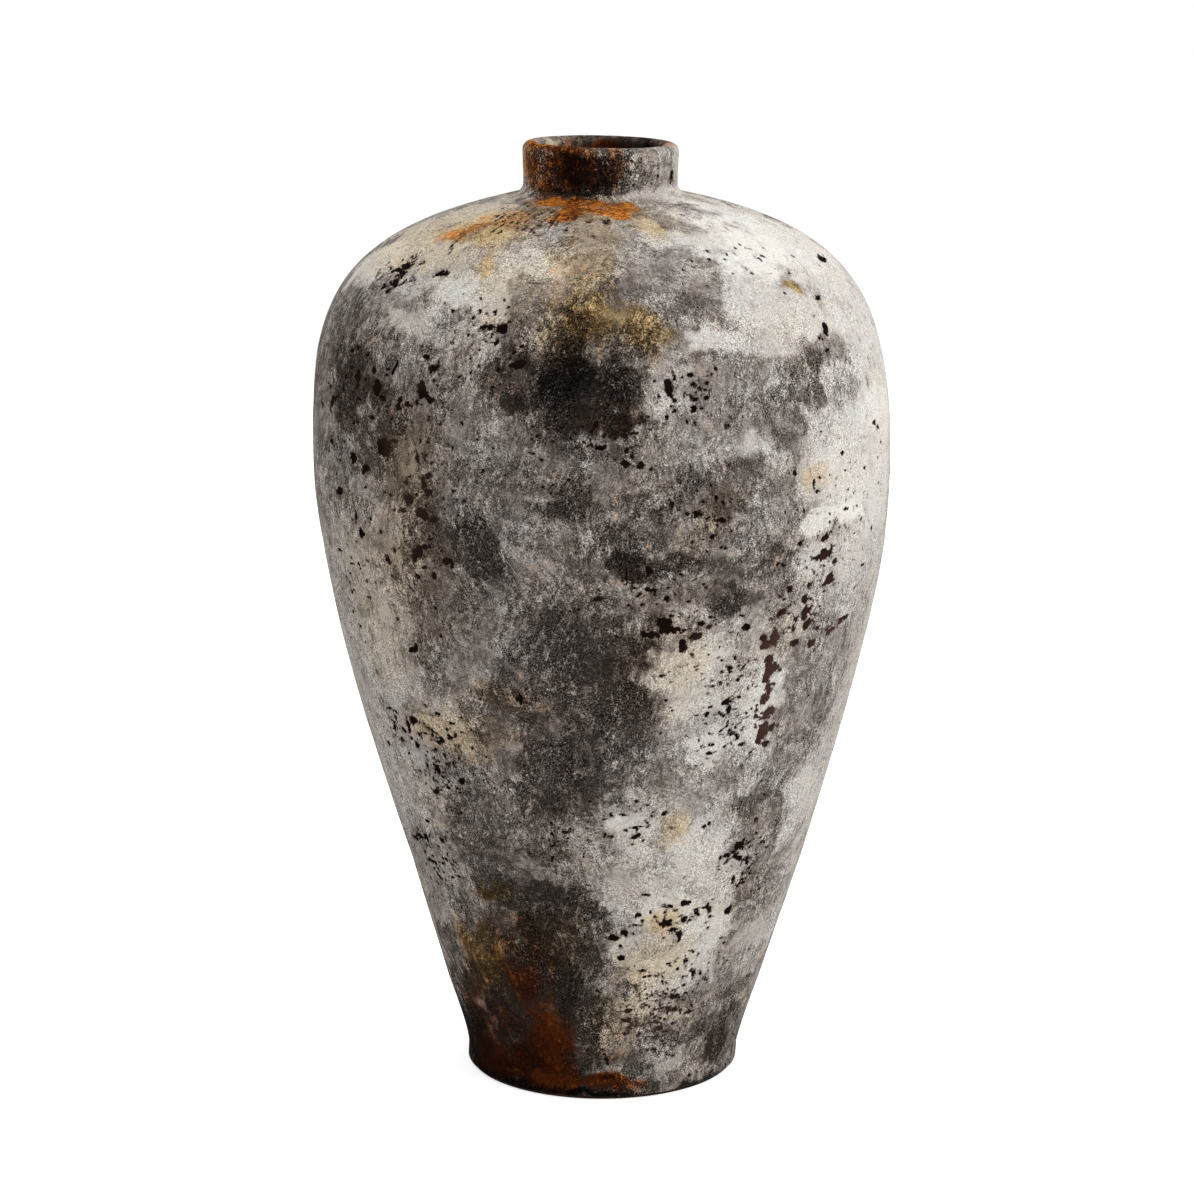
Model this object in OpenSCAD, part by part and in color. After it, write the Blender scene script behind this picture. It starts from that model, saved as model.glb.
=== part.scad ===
// Tall floor jar, built up by hand from clay sections on a flat slab.
// The sections are joined with slip in V-shaped seams, and two thin coats cover the outside,
// the lip and the top of the throat. The jar stands on the slab, with its axis on +Z.
// All lengths are in millimetres.

/* [Outline] */
// Radius of the coated foot
foot_r = 117.5; // [112:0.5:124]
// Height over which the wall flares out above the foot
flare_h = 66; // [55:1:85]
// Radius at the top of that flare
flare_r = 136.5; // [131:0.5:143]
// Outward lean of the wall at the top of the flare, in degrees
flare_lean = 16.7; // [15:0.1:19]
// Height from the top of the flare to the widest line
belly_rise = 456; // [400:1:520]
// Radius at the widest line
belly_r = 244; // [225:0.5:265]
// Height from the widest line to the crown, where the shoulder's curve runs out
shoulder_rise = 215; // [180:0.5:250]
// Radius at the crown
crown_r = 92.6; // [84:0.2:100]
// Fall of the straight slope between the crown and the neck, in degrees from level
crown_fall = 14; // [8:0.5:20]

/* [Neck and mouth] */
// Radius of the coated mouth
mouth_r = 51; // [44:0.2:58]
// Thickness of the coated neck where it leaves the shoulder
neck_w = 13.6; // [10:0.2:18]
// Radius of the rounding between shoulder and neck
neck_round = 9; // [4:0.5:14]
// Width of the collar's foot around the neck
collar_foot_w = 14; // [12:0.5:16]
// Height of the lip's top above the crown
neck_rise = 49; // [40:0.5:70]
// Thickness of the lip
lip_w = 14.4; // [10:0.2:20]
// Length of the coated straight part of the mouth, below the lip's rounding
mouth_l = 24; // [10:0.5:28]
// Radius of the rounding where the throat opens into the jar
throat_round = 10; // [4:0.5:12]

/* [Clay] */
// Thickness of the base slab
slab_t = 12; // [8:0.5:16]
// Bevel around the underside of the slab
slab_bevel = 1; // [0.4:0.1:2.5]
// Thickness of the wall sections
wall_t = 11; // [8:0.5:14]
// Height of the lower seam above the top of the flare
lower_seam_rise = 100; // [60:1:180]
// Depth of the belly seam below the widest line
belly_seam_drop = 56; // [20:1:100]
// Height of the upper seam above the widest line
upper_seam_rise = 74; // [30:1:110]

/* [Seams and coats] */
// Thickness of the slip in the seams
slip_t = 2; // [1:0.1:3]
// Depth of the V that keys each seam
key_d = 4; // [2:0.5:6]
// Thickness of the dark undercoat
undercoat_t = 0.8; // [0.5:0.1:1.5]
// Thickness of the mineral coat
coat_t = 1.6; // [1:0.1:2.5]
// Height of the slab's bare edge below the coats
bare_edge_h = 3.2; // [1.5:0.1:6]

/* [Hidden] */

// Where the inner handles of the curved stretches lie, along their length
flare_shares = [0.2, 0.1];
belly_shares = [0.37, 0.27];
shoulder_shares = [0.59, 0.85];

// Steps in each curved stretch
flare_steps = 8;
belly_steps = 20;
shoulder_steps = 24;
round_steps = 10;
lip_steps = 16;

clay_colour = "#a9683f";
slip_colour = "#7d452a";
undercoat_colour = "#2b2320";
coat_colour = "#b6b0ae";

// Radii and heights that follow from the sizes above
neck_r = mouth_r + neck_w;
foot_h = slab_t + slip_t;
flare_z = foot_h + flare_h;
belly_z = flare_z + belly_rise;
crown_z = belly_z + shoulder_rise;
jar_h = crown_z + neck_rise;
lip_round = lip_w / 2;
lip_z = jar_h - lip_round;
mouth_z = lip_z - mouth_l;
lower_seam_z = flare_z + lower_seam_rise;
belly_seam_z = belly_z - belly_seam_drop;
upper_seam_z = belly_z + upper_seam_rise;

// Length of the straight slope from the crown up to the neck seam
slope_l = (crown_r - neck_r - collar_foot_w) / cos(crown_fall);

// Depths below the outer surface, and the radius of the clay inside the throat
skin_t = undercoat_t + coat_t;
throat_r = mouth_r + skin_t;
clay_in = skin_t + wall_t;

$fn = 96;

// The outline is a row of stations, each a point and the outward unit normal there.
// Every layer is found by going straight in from the stations, so neighbours meet exactly.

// Unit vector at an angle from the radial direction
function unit(a) = [cos(a), sin(a)];
// The outward normal of a way that runs along d
function outward(d) = [d.y, -d.x] / norm(d);
// Point at depth d below a station
function at(s, d) = s[0] - d * s[1];

// Station at share t of a curved stretch with the four handles c
function curve_station(c, t) = let (u = 1 - t)
    [u * u * u * c[0] + 3 * u * u * t * c[1] + 3 * u * t * t * c[2] + t * t * t * c[3],
     outward(u * u * (c[1] - c[0]) + 2 * u * t * (c[2] - c[1]) + t * t * (c[3] - c[2]))];

// Share of a rising curved stretch at which it reaches the height z, found by halving
function share_at(c, z, low = 0, high = 1, halvings = 30) =
    let (mid = (low + high) / 2, below = curve_station(c, mid)[0].y < z)
    halvings == 0 ? mid :
    below ? share_at(c, z, mid, high, halvings - 1) : share_at(c, z, low, mid, halvings - 1);

// Stations of a curved stretch from share a to share b
function curve_run(c, a, b, steps) = let (n = max(1, round((b - a) * steps)))
    [for (i = [0:n]) curve_station(c, a + (b - a) * i / n)];

// Stations on an arc around m, whose normals turn from angle a to b; side is 1 or -1
function arc_run(m, r, a, b, side, steps) =
    [for (i = [0:steps]) let (n = unit(a + (b - a) * i / steps)) [m + side * r * n, n]];

// Runs joined end to end, without the station that two neighbours share
function joined(runs) = [for (i = [0:len(runs) - 1]) for (k = [(i == 0 ? 0 : 1):len(runs[i]) - 1]) runs[i][k]];
function first(run) = run[0];
function last(run) = run[len(run) - 1];

// The curved stretches of the outside
flare_lean_run = tan(flare_lean);
flare_curve = [[foot_r, foot_h], [foot_r, foot_h + flare_shares[0] * flare_h],
    [flare_r, flare_z] - flare_shares[1] * flare_h * [flare_lean_run, 1], [flare_r, flare_z]];
belly_curve = [[flare_r, flare_z], [flare_r, flare_z] + belly_shares[0] * belly_rise * [flare_lean_run, 1],
    [belly_r, belly_z - belly_shares[1] * belly_rise], [belly_r, belly_z]];
shoulder_curve = [[belly_r, belly_z], [belly_r, belly_z + shoulder_shares[0] * shoulder_rise],
    [crown_r, crown_z] + shoulder_shares[1] * (belly_r - crown_r) * [1, -tan(crown_fall)],
    [crown_r, crown_z]];

// Shares of the curved stretches at the lower and upper edges of their seams
lower_seam_shares = [share_at(belly_curve, lower_seam_z), share_at(belly_curve, lower_seam_z + slip_t)];
belly_seam_shares = [share_at(belly_curve, belly_seam_z), share_at(belly_curve, belly_seam_z + slip_t)];
upper_seam_shares = [share_at(shoulder_curve, upper_seam_z), share_at(shoulder_curve, upper_seam_z + slip_t)];

// Station on the straight slope, at length l from the crown
function slope_station(l) = [[crown_r, crown_z] + l * unit(180 - crown_fall), unit(90 - crown_fall)];
// Centre of a rounding of radius r that touches the slope at depth d and the upright at radius x
function corner_centre(x, r, d) = [x + r,
    crown_z + (crown_r - x - r) * tan(crown_fall) + (r - d) / cos(crown_fall)];
neck_centre = corner_centre(neck_r, neck_round, 0);
throat_centre = corner_centre(throat_r, throat_round, clay_in);
lip_centre = [mouth_r + lip_round, lip_z];

// Runs of stations from the coats' lower edge up the outside, over the lip and down the throat
slab_run = [for (z = [bare_edge_h, slab_t]) [[foot_r, z], unit(0)]];
foot_seam_run = [for (z = [slab_t, foot_h]) [[foot_r, z], unit(0)]];
lower_run = joined([curve_run(flare_curve, 0, 1, flare_steps),
    curve_run(belly_curve, 0, lower_seam_shares[0], belly_steps)]);
lower_seam_run = curve_run(belly_curve, lower_seam_shares[0], lower_seam_shares[1], belly_steps);
belly_run = curve_run(belly_curve, lower_seam_shares[1], belly_seam_shares[0], belly_steps);
belly_seam_run = curve_run(belly_curve, belly_seam_shares[0], belly_seam_shares[1], belly_steps);
upper_run = joined([curve_run(belly_curve, belly_seam_shares[1], 1, belly_steps),
    curve_run(shoulder_curve, 0, upper_seam_shares[0], shoulder_steps)]);
upper_seam_run = curve_run(shoulder_curve, upper_seam_shares[0], upper_seam_shares[1], shoulder_steps);
shoulder_run = concat(curve_run(shoulder_curve, upper_seam_shares[1], 1, shoulder_steps),
    [slope_station(slope_l)]);
neck_seam_run = [for (l = [slope_l, slope_l + slip_t]) slope_station(l)];
collar_run = concat([last(neck_seam_run)],
    arc_run(neck_centre, neck_round, 90 - crown_fall, 0, -1, round_steps),
    arc_run(lip_centre, lip_round, 0, 180, 1, lip_steps),
    [[[mouth_r, mouth_z], unit(180)]]);

// Bare clay of the throat, from the end of the coats down to the neck seam
throat_points = concat([[throat_r, mouth_z]],
    [for (s = arc_run(throat_centre, throat_round, 0, 90 - crown_fall, -1, round_steps)) s[0]]);

// Point of the V in the seam edge at a station
function key_point(s) = at(s, skin_t + wall_t / 2) + key_d * [s[1].y, -s[1].x];
// The two sides of a layer, from depth a going up to depth b coming down
function side(run, d) = [for (s = run) at(s, d)];
function back(points) = [for (i = [len(points) - 1:-1:0]) points[i]];

// A layer of even thickness along a run
module layer(run, a, b)
    rotate_extrude() polygon(concat(side(run, a), back(side(run, b))));

// A wall section or seam, with a V across its lower and upper edges
module keyed(run)
    rotate_extrude() polygon(concat(side(run, skin_t), [key_point(last(run))],
        back(side(run, clay_in)), [key_point(first(run))]));

// Flat clay base, with the V of the foot seam cut into its top
module foot_slab()
    color(clay_colour) rotate_extrude() polygon([
        [0, 0], [foot_r - skin_t - slab_bevel, 0], [foot_r - skin_t, slab_bevel],
        at(last(slab_run), skin_t), key_point(last(slab_run)), at(last(slab_run), clay_in),
        [0, slab_t]]);

// Slip between the slab and the lower wall
module foot_seam()
    color(slip_colour) keyed(foot_seam_run);

// Flared wall above the foot
module lower_wall()
    color(clay_colour) keyed(lower_run);

// Slip between the lower wall and the belly
module lower_seam()
    color(slip_colour) keyed(lower_seam_run);

// Widening wall up to just under the widest line
module belly_wall()
    color(clay_colour) keyed(belly_run);

// Slip between the belly and the upper wall
module belly_seam()
    color(slip_colour) keyed(belly_seam_run);

// Near-upright wall around the widest line
module upper_wall()
    color(clay_colour) keyed(upper_run);

// Slip between the upper wall and the shoulder
module upper_seam()
    color(slip_colour) keyed(upper_seam_run);

// Domed wall that closes in to the collar
module shoulder_wall()
    color(clay_colour) keyed(shoulder_run);

// Slip between the shoulder and the collar
module neck_seam()
    color(slip_colour) keyed(neck_seam_run);

// Collar with its foot, neck and rolled lip
module neck_collar()
    color(clay_colour) rotate_extrude() polygon(concat(side(collar_run, skin_t), throat_points,
        [at(last(neck_seam_run), clay_in), key_point(last(neck_seam_run))]));

coated_run = joined([slab_run, foot_seam_run, lower_run, lower_seam_run, belly_run, belly_seam_run,
    upper_run, upper_seam_run, shoulder_run, neck_seam_run, collar_run]);

// Thin dark layer on the clay, from above the slab's bare edge to inside the mouth
module dark_undercoat()
    color(undercoat_colour) layer(coated_run, coat_t, skin_t);

// Grey mineral layer over the undercoat
module mineral_coat()
    color(coat_colour) layer(coated_run, 0, coat_t);

foot_slab();
foot_seam();
lower_wall();
lower_seam();
belly_wall();
belly_seam();
upper_wall();
upper_seam();
shoulder_wall();
neck_seam();
neck_collar();
dark_undercoat();
mineral_coat();
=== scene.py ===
"""A tall floor jar of hand-built clay, with a dark undercoat and a worn grey mineral coat over it."""
import math

import bpy
import numpy as np
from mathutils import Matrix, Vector


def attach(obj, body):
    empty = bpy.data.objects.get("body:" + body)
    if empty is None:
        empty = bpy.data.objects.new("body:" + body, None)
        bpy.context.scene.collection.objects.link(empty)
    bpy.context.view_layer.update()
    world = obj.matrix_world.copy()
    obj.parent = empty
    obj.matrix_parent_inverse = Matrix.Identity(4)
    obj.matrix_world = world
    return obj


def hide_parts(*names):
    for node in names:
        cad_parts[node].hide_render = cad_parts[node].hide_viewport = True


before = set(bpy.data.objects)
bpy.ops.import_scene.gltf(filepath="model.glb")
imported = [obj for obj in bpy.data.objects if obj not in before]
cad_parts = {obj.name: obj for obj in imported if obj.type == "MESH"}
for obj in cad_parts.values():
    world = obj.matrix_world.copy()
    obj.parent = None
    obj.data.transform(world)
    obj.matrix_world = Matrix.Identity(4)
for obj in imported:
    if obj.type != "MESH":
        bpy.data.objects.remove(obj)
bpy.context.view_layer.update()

MM = 0.001
TAU = 2 * math.pi

# Sizes in metres: the coated outline from the foot up, then the slab, the layers of the wall, the slip
# and its key, and how far along each curve's stretch its two handles reach, as shares
FOOT_R, FOOT_H = 117.5 * MM, 14 * MM
FLARE_H, FLARE_R, FLARE_LEAN = 66 * MM, 136.5 * MM, math.radians(16.7)
BELLY_RISE, BELLY_R = 456 * MM, 244 * MM
SHOULDER_RISE, CROWN_R, CROWN_FALL = 215 * MM, 92.6 * MM, math.radians(14)
NECK_R, NECK_ROUND, NECK_RISE = 64.6 * MM, 9 * MM, 49 * MM
MOUTH_R, MOUTH_L, LIP_W, THROAT_ROUND = 51 * MM, 24 * MM, 14.4 * MM, 10 * MM
SLAB_T, SLAB_BEVEL, BARE_EDGE_H = 12 * MM, 1 * MM, 3.2 * MM
WALL_T, UNDERCOAT_T, COAT_T = 11 * MM, 0.8 * MM, 1.6 * MM
SLIP_T, KEY_D, COLLAR_FOOT_W = 2 * MM, 4 * MM, 14 * MM
FLARE_SHARES, BELLY_SHARES, SHOULDER_SHARES = (0.2, 0.1), (0.37, 0.27), (0.59, 0.85)

# Heights and depths that follow from them
FLARE_Z = FOOT_H + FLARE_H
BELLY_Z = FLARE_Z + BELLY_RISE
CROWN_Z = BELLY_Z + SHOULDER_RISE
JAR_H = CROWN_Z + NECK_RISE
LIP_ROUND = LIP_W / 2
LIP_R = MOUTH_R + LIP_W
LIP_Z = JAR_H - LIP_ROUND
SKIN_T = UNDERCOAT_T + COAT_T
CLAY_IN = SKIN_T + WALL_T
LOWER_SEAM_Z = FLARE_Z + 100 * MM
BELLY_SEAM_Z = BELLY_Z - 56 * MM
UPPER_SEAM_Z = BELLY_Z + 74 * MM
SLOPE_L = (CROWN_R - NECK_R - COLLAR_FOOT_W) / math.cos(CROWN_FALL)


def placed(name, data):
    """A new object with its data, put into the scene."""
    made = bpy.data.objects.new(name, data)
    bpy.context.scene.collection.objects.link(made)
    return made


def unit(angle):
    """Unit vector in the half plane of the outline, at an angle from level."""
    return np.array([math.cos(angle), math.sin(angle)])


def curve(a, b, c, d, n=160):
    """Points and outward normals of a cubic curve with handles a to d: the handles weighted by the
    powers of the share along it, and the way along it turned by a quarter."""
    t = np.linspace(0, 1, n)[:, None]
    u = 1 - t
    a, b, c, d = (np.array(p, float) for p in (a, b, c, d))
    way = u * u * (b - a) + 2 * u * t * (c - b) + t * t * (d - c)
    normal = np.stack([way[:, 1], -way[:, 0]], 1) / np.linalg.norm(way, axis=1)[:, None]
    return u**3 * a + 3 * u * u * t * b + 3 * u * t * t * c + t**3 * d, normal


def straight(a, b, normal, n=24):
    """Points from a to b with one normal."""
    t = np.linspace(0, 1, n)[:, None]
    return (1 - t) * np.array(a) + t * np.array(b), np.tile(normal, (n, 1))


def arc(middle, r, start, end, side, n=40):
    """Points on a circle whose outward normals turn from one angle to another; side is 1 or -1."""
    turn = np.linspace(start, end, n)
    normal = np.stack([np.cos(turn), np.sin(turn)], 1)
    return np.array(middle) + side * r * normal, normal


def corner_centre(x, r, depth):
    """Centre of a rounding that touches the crown's slope at a depth, and the upright at radius x."""
    rise = (CROWN_R - x - r) * math.tan(CROWN_FALL) + (r - depth) / math.cos(CROWN_FALL)
    return np.array([x + r, CROWN_Z + rise])


LEAN = math.tan(FLARE_LEAN)
FLARE = curve((FOOT_R, FOOT_H), (FOOT_R, FOOT_H + FLARE_SHARES[0] * FLARE_H),
              (FLARE_R - FLARE_SHARES[1] * FLARE_H * LEAN, FLARE_Z - FLARE_SHARES[1] * FLARE_H),
              (FLARE_R, FLARE_Z))
BELLY = curve((FLARE_R, FLARE_Z),
              (FLARE_R + BELLY_SHARES[0] * BELLY_RISE * LEAN, FLARE_Z + BELLY_SHARES[0] * BELLY_RISE),
              (BELLY_R, BELLY_Z - BELLY_SHARES[1] * BELLY_RISE), (BELLY_R, BELLY_Z))
SHOULDER_W = SHOULDER_SHARES[1] * (BELLY_R - CROWN_R)
SHOULDER = curve((BELLY_R, BELLY_Z), (BELLY_R, BELLY_Z + SHOULDER_SHARES[0] * SHOULDER_RISE),
                 (CROWN_R + SHOULDER_W, CROWN_Z - SHOULDER_W * math.tan(CROWN_FALL)), (CROWN_R, CROWN_Z))
NECK_CENTRE = corner_centre(NECK_R, NECK_ROUND, 0)
SLOPE_END = NECK_CENTRE - NECK_ROUND * unit(math.pi / 2 - CROWN_FALL)
STRETCHES = [
    straight((FOOT_R, BARE_EDGE_H), (FOOT_R, FOOT_H), (1, 0)), FLARE, BELLY, SHOULDER,
    straight((CROWN_R, CROWN_Z), SLOPE_END, unit(math.pi / 2 - CROWN_FALL)),
    arc(NECK_CENTRE, NECK_ROUND, math.pi / 2 - CROWN_FALL, 0, -1),
    straight((NECK_R, NECK_CENTRE[1]), (LIP_R, LIP_Z), (1, 0)),
    arc((MOUTH_R + LIP_ROUND, LIP_Z), LIP_ROUND, 0, math.pi, 1),
    straight((MOUTH_R, LIP_Z), (MOUTH_R, LIP_Z - MOUTH_L), (-1, 0)),
]


def outline():
    """The coated outline as arrays: length along it, radius, height and the two parts of the normal."""
    points = np.concatenate([p for p, _ in STRETCHES])
    normals = np.concatenate([np.asarray(n, float) for _, n in STRETCHES])
    step = np.linalg.norm(np.diff(points, axis=0), axis=1)
    keep = np.concatenate([[True], step > 1e-7])
    points, normals = points[keep], normals[keep]
    length = np.concatenate([[0], np.cumsum(np.linalg.norm(np.diff(points, axis=0), axis=1))])
    return length, points, normals


LENGTH, OUT_POINTS, OUT_NORMALS = outline()
TOP_LENGTH = np.interp(JAR_H, OUT_POINTS[: OUT_POINTS[:, 1].argmax() + 1, 1],
                       LENGTH[: OUT_POINTS[:, 1].argmax() + 1])


def stations(length):
    """Radius and height, and outward normal, at lengths along the outline."""
    p = np.stack([np.interp(length, LENGTH, OUT_POINTS[:, k]) for k in (0, 1)], -1)
    n = np.stack([np.interp(length, LENGTH, OUT_NORMALS[:, k]) for k in (0, 1)], -1)
    return p, n / np.linalg.norm(n, axis=-1, keepdims=True)


# How the hand-built wall strays from a true turning: sideways drift of its centre at some heights
DRIFT_Z = np.array([0, 10, 30, 85, 140, 186, 240, 300, 380, 430, 463, 500, 536, 587, 627, 687, 736, 800]) * MM
DRIFT_X = np.array([0, 0.6, 1.4, 1.8, 2.8, 3.8, 3, 2.4, 1.6, 1.8, 1.5, 0.4, 0, -0.8, -2.3, -2.5, -1.6,
                    -1]) * MM
DRIFT_Y = 1.2 * MM
OVAL_SHARE = 0.006
LIP_DROP = 2.6 * MM


def stray(p):
    """The built shape of points of the true turning: each height moves a little sideways, the depth is
    a little less than the width, and the lip falls towards the right."""
    x, y, z = p[..., 0], p[..., 1], p[..., 2]
    dx = np.interp(z, DRIFT_Z, DRIFT_X)
    dy = DRIFT_Y * np.sin(z / JAR_H * 5.0) * np.sin(z / JAR_H * math.pi)
    lift = np.clip((z - CROWN_Z) / NECK_RISE, 0, 1)
    fall = LIP_DROP * lift * np.clip(0.5 + x / (2 * LIP_R), 0, 1)
    return np.stack([x + dx, y * (1 - OVAL_SHARE) + dy, z - fall], -1)


def turned(radius, height, azimuth):
    """Points at a radius and height, with azimuth 0 at the front and growing to the right."""
    return np.stack(np.broadcast_arrays(radius * np.sin(azimuth), -radius * np.cos(azimuth), height), -1)


def smooth(a, b, x):
    """Smooth step from 0 at a to 1 at b."""
    t = np.clip((x - a) / (b - a), 0, 1)
    return t * t * (3 - 2 * t)


LATTICE_N = 64
LATTICE = np.random.default_rng(11).random(LATTICE_N**3, dtype=np.float32)


def noise(p, size, seed=0.0):
    """Smooth random value from -1 to 1 at points p: random values on the corners of a lattice with
    cells of that size, blended by the smooth step along each axis in turn."""
    q = (p / size + 17.3 * (seed + 1)).astype(np.float32)
    low = np.floor(q)
    f = q - low
    f = f * f * (3 - 2 * f)
    low = low.astype(np.int32)
    spots = [[((low[..., k] + up) % LATTICE_N) * LATTICE_N ** (2 - k) for up in (0, 1)] for k in range(3)]
    faces = []
    for x in spots[0]:
        edges = []
        for y in spots[1]:
            a, b = (LATTICE[x + y + z] for z in spots[2])
            edges.append(a + f[..., 2] * (b - a))
        faces.append(edges[0] + f[..., 1] * (edges[1] - edges[0]))
    return 2 * (faces[0] + f[..., 0] * (faces[1] - faces[0])) - 1


def cloud(p, size, octaves=3, seed=0.0, rough=0.6):
    """Sum of noise at halved sizes, each octave weaker by the share rough."""
    total, weight = 0, 1.0
    for k in range(octaves):
        total = total + weight * noise(p, size / 2**k, seed + 3.1 * k)
        weight *= rough
    return total


# Looks of the coat, as patches painted one over the other. Azimuth in degrees from the front, height
# along the wall in millimetres, which past the lip's top counts on down the throat. Each row:
# azimuth, height, half width in degrees, half height, lean in degrees, tone from 0 dark to 1 pale, strength
WASHES = [
    # left flank, from the widest line down
    (-75, 400, 34, 190, 0, 0.63, 0.95), (-70, 600, 24, 80, 0, 0.45, 0.9), (-75, 165, 30, 60, 0, 0.53, 0.9),
    # right flank, from the shoulder down: paler paint with painted light added, as these tones are raised so
    # the side lit from the right looks brighter
    (70, 600, 28, 140, 0, 0.82, 0.95), (72, 720, 30, 34, 0, 0.84, 0.95), (72, 440, 26, 60, 0, 0.74, 0.9),
    (72, 375, 14, 24, 0, 0.82, 0.8), (72, 300, 26, 120, 0, 0.72, 0.9), (72, 160, 26, 60, 0, 0.68, 0.9),
    (72, 110, 16, 22, 0, 0.78, 0.9), (74, 80, 22, 40, 0, 0.5, 0.9), (74, 30, 26, 24, 0, 0.37, 0.9),
    # top of the shoulder; the pale one at the right is partly painted light from above, over the coat's own
    # tone
    (-58, 730, 34, 34, 0, 0.74, 0.95), (0, 722, 16, 28, 0, 0.55, 0.9), (46, 721, 20, 35, 0, 0.89, 0.95),
    # middle, from the widest line down
    (-25, 580, 26, 90, 0, 0.43, 0.9), (20, 590, 22, 80, 0, 0.48, 0.9), (-35, 430, 14, 70, 0, 0.43, 0.9),
    (-6, 380, 18, 110, 0, 0.26, 0.95), (22, 385, 14, 70, 0, 0.67, 0.95), (50, 360, 16, 90, 0, 0.49, 0.9),
    (-32, 260, 16, 60, 0, 0.38, 0.9), (14, 240, 18, 70, 0, 0.66, 0.95), (21, 152, 20, 50, 0, 0.84, 0.95),
    (48, 220, 14, 60, 0, 0.5, 0.9), (-28, 60, 46, 70, 0, 0.12, 1.0), (20, 60, 22, 50, 0, 0.4, 0.9),
]
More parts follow.
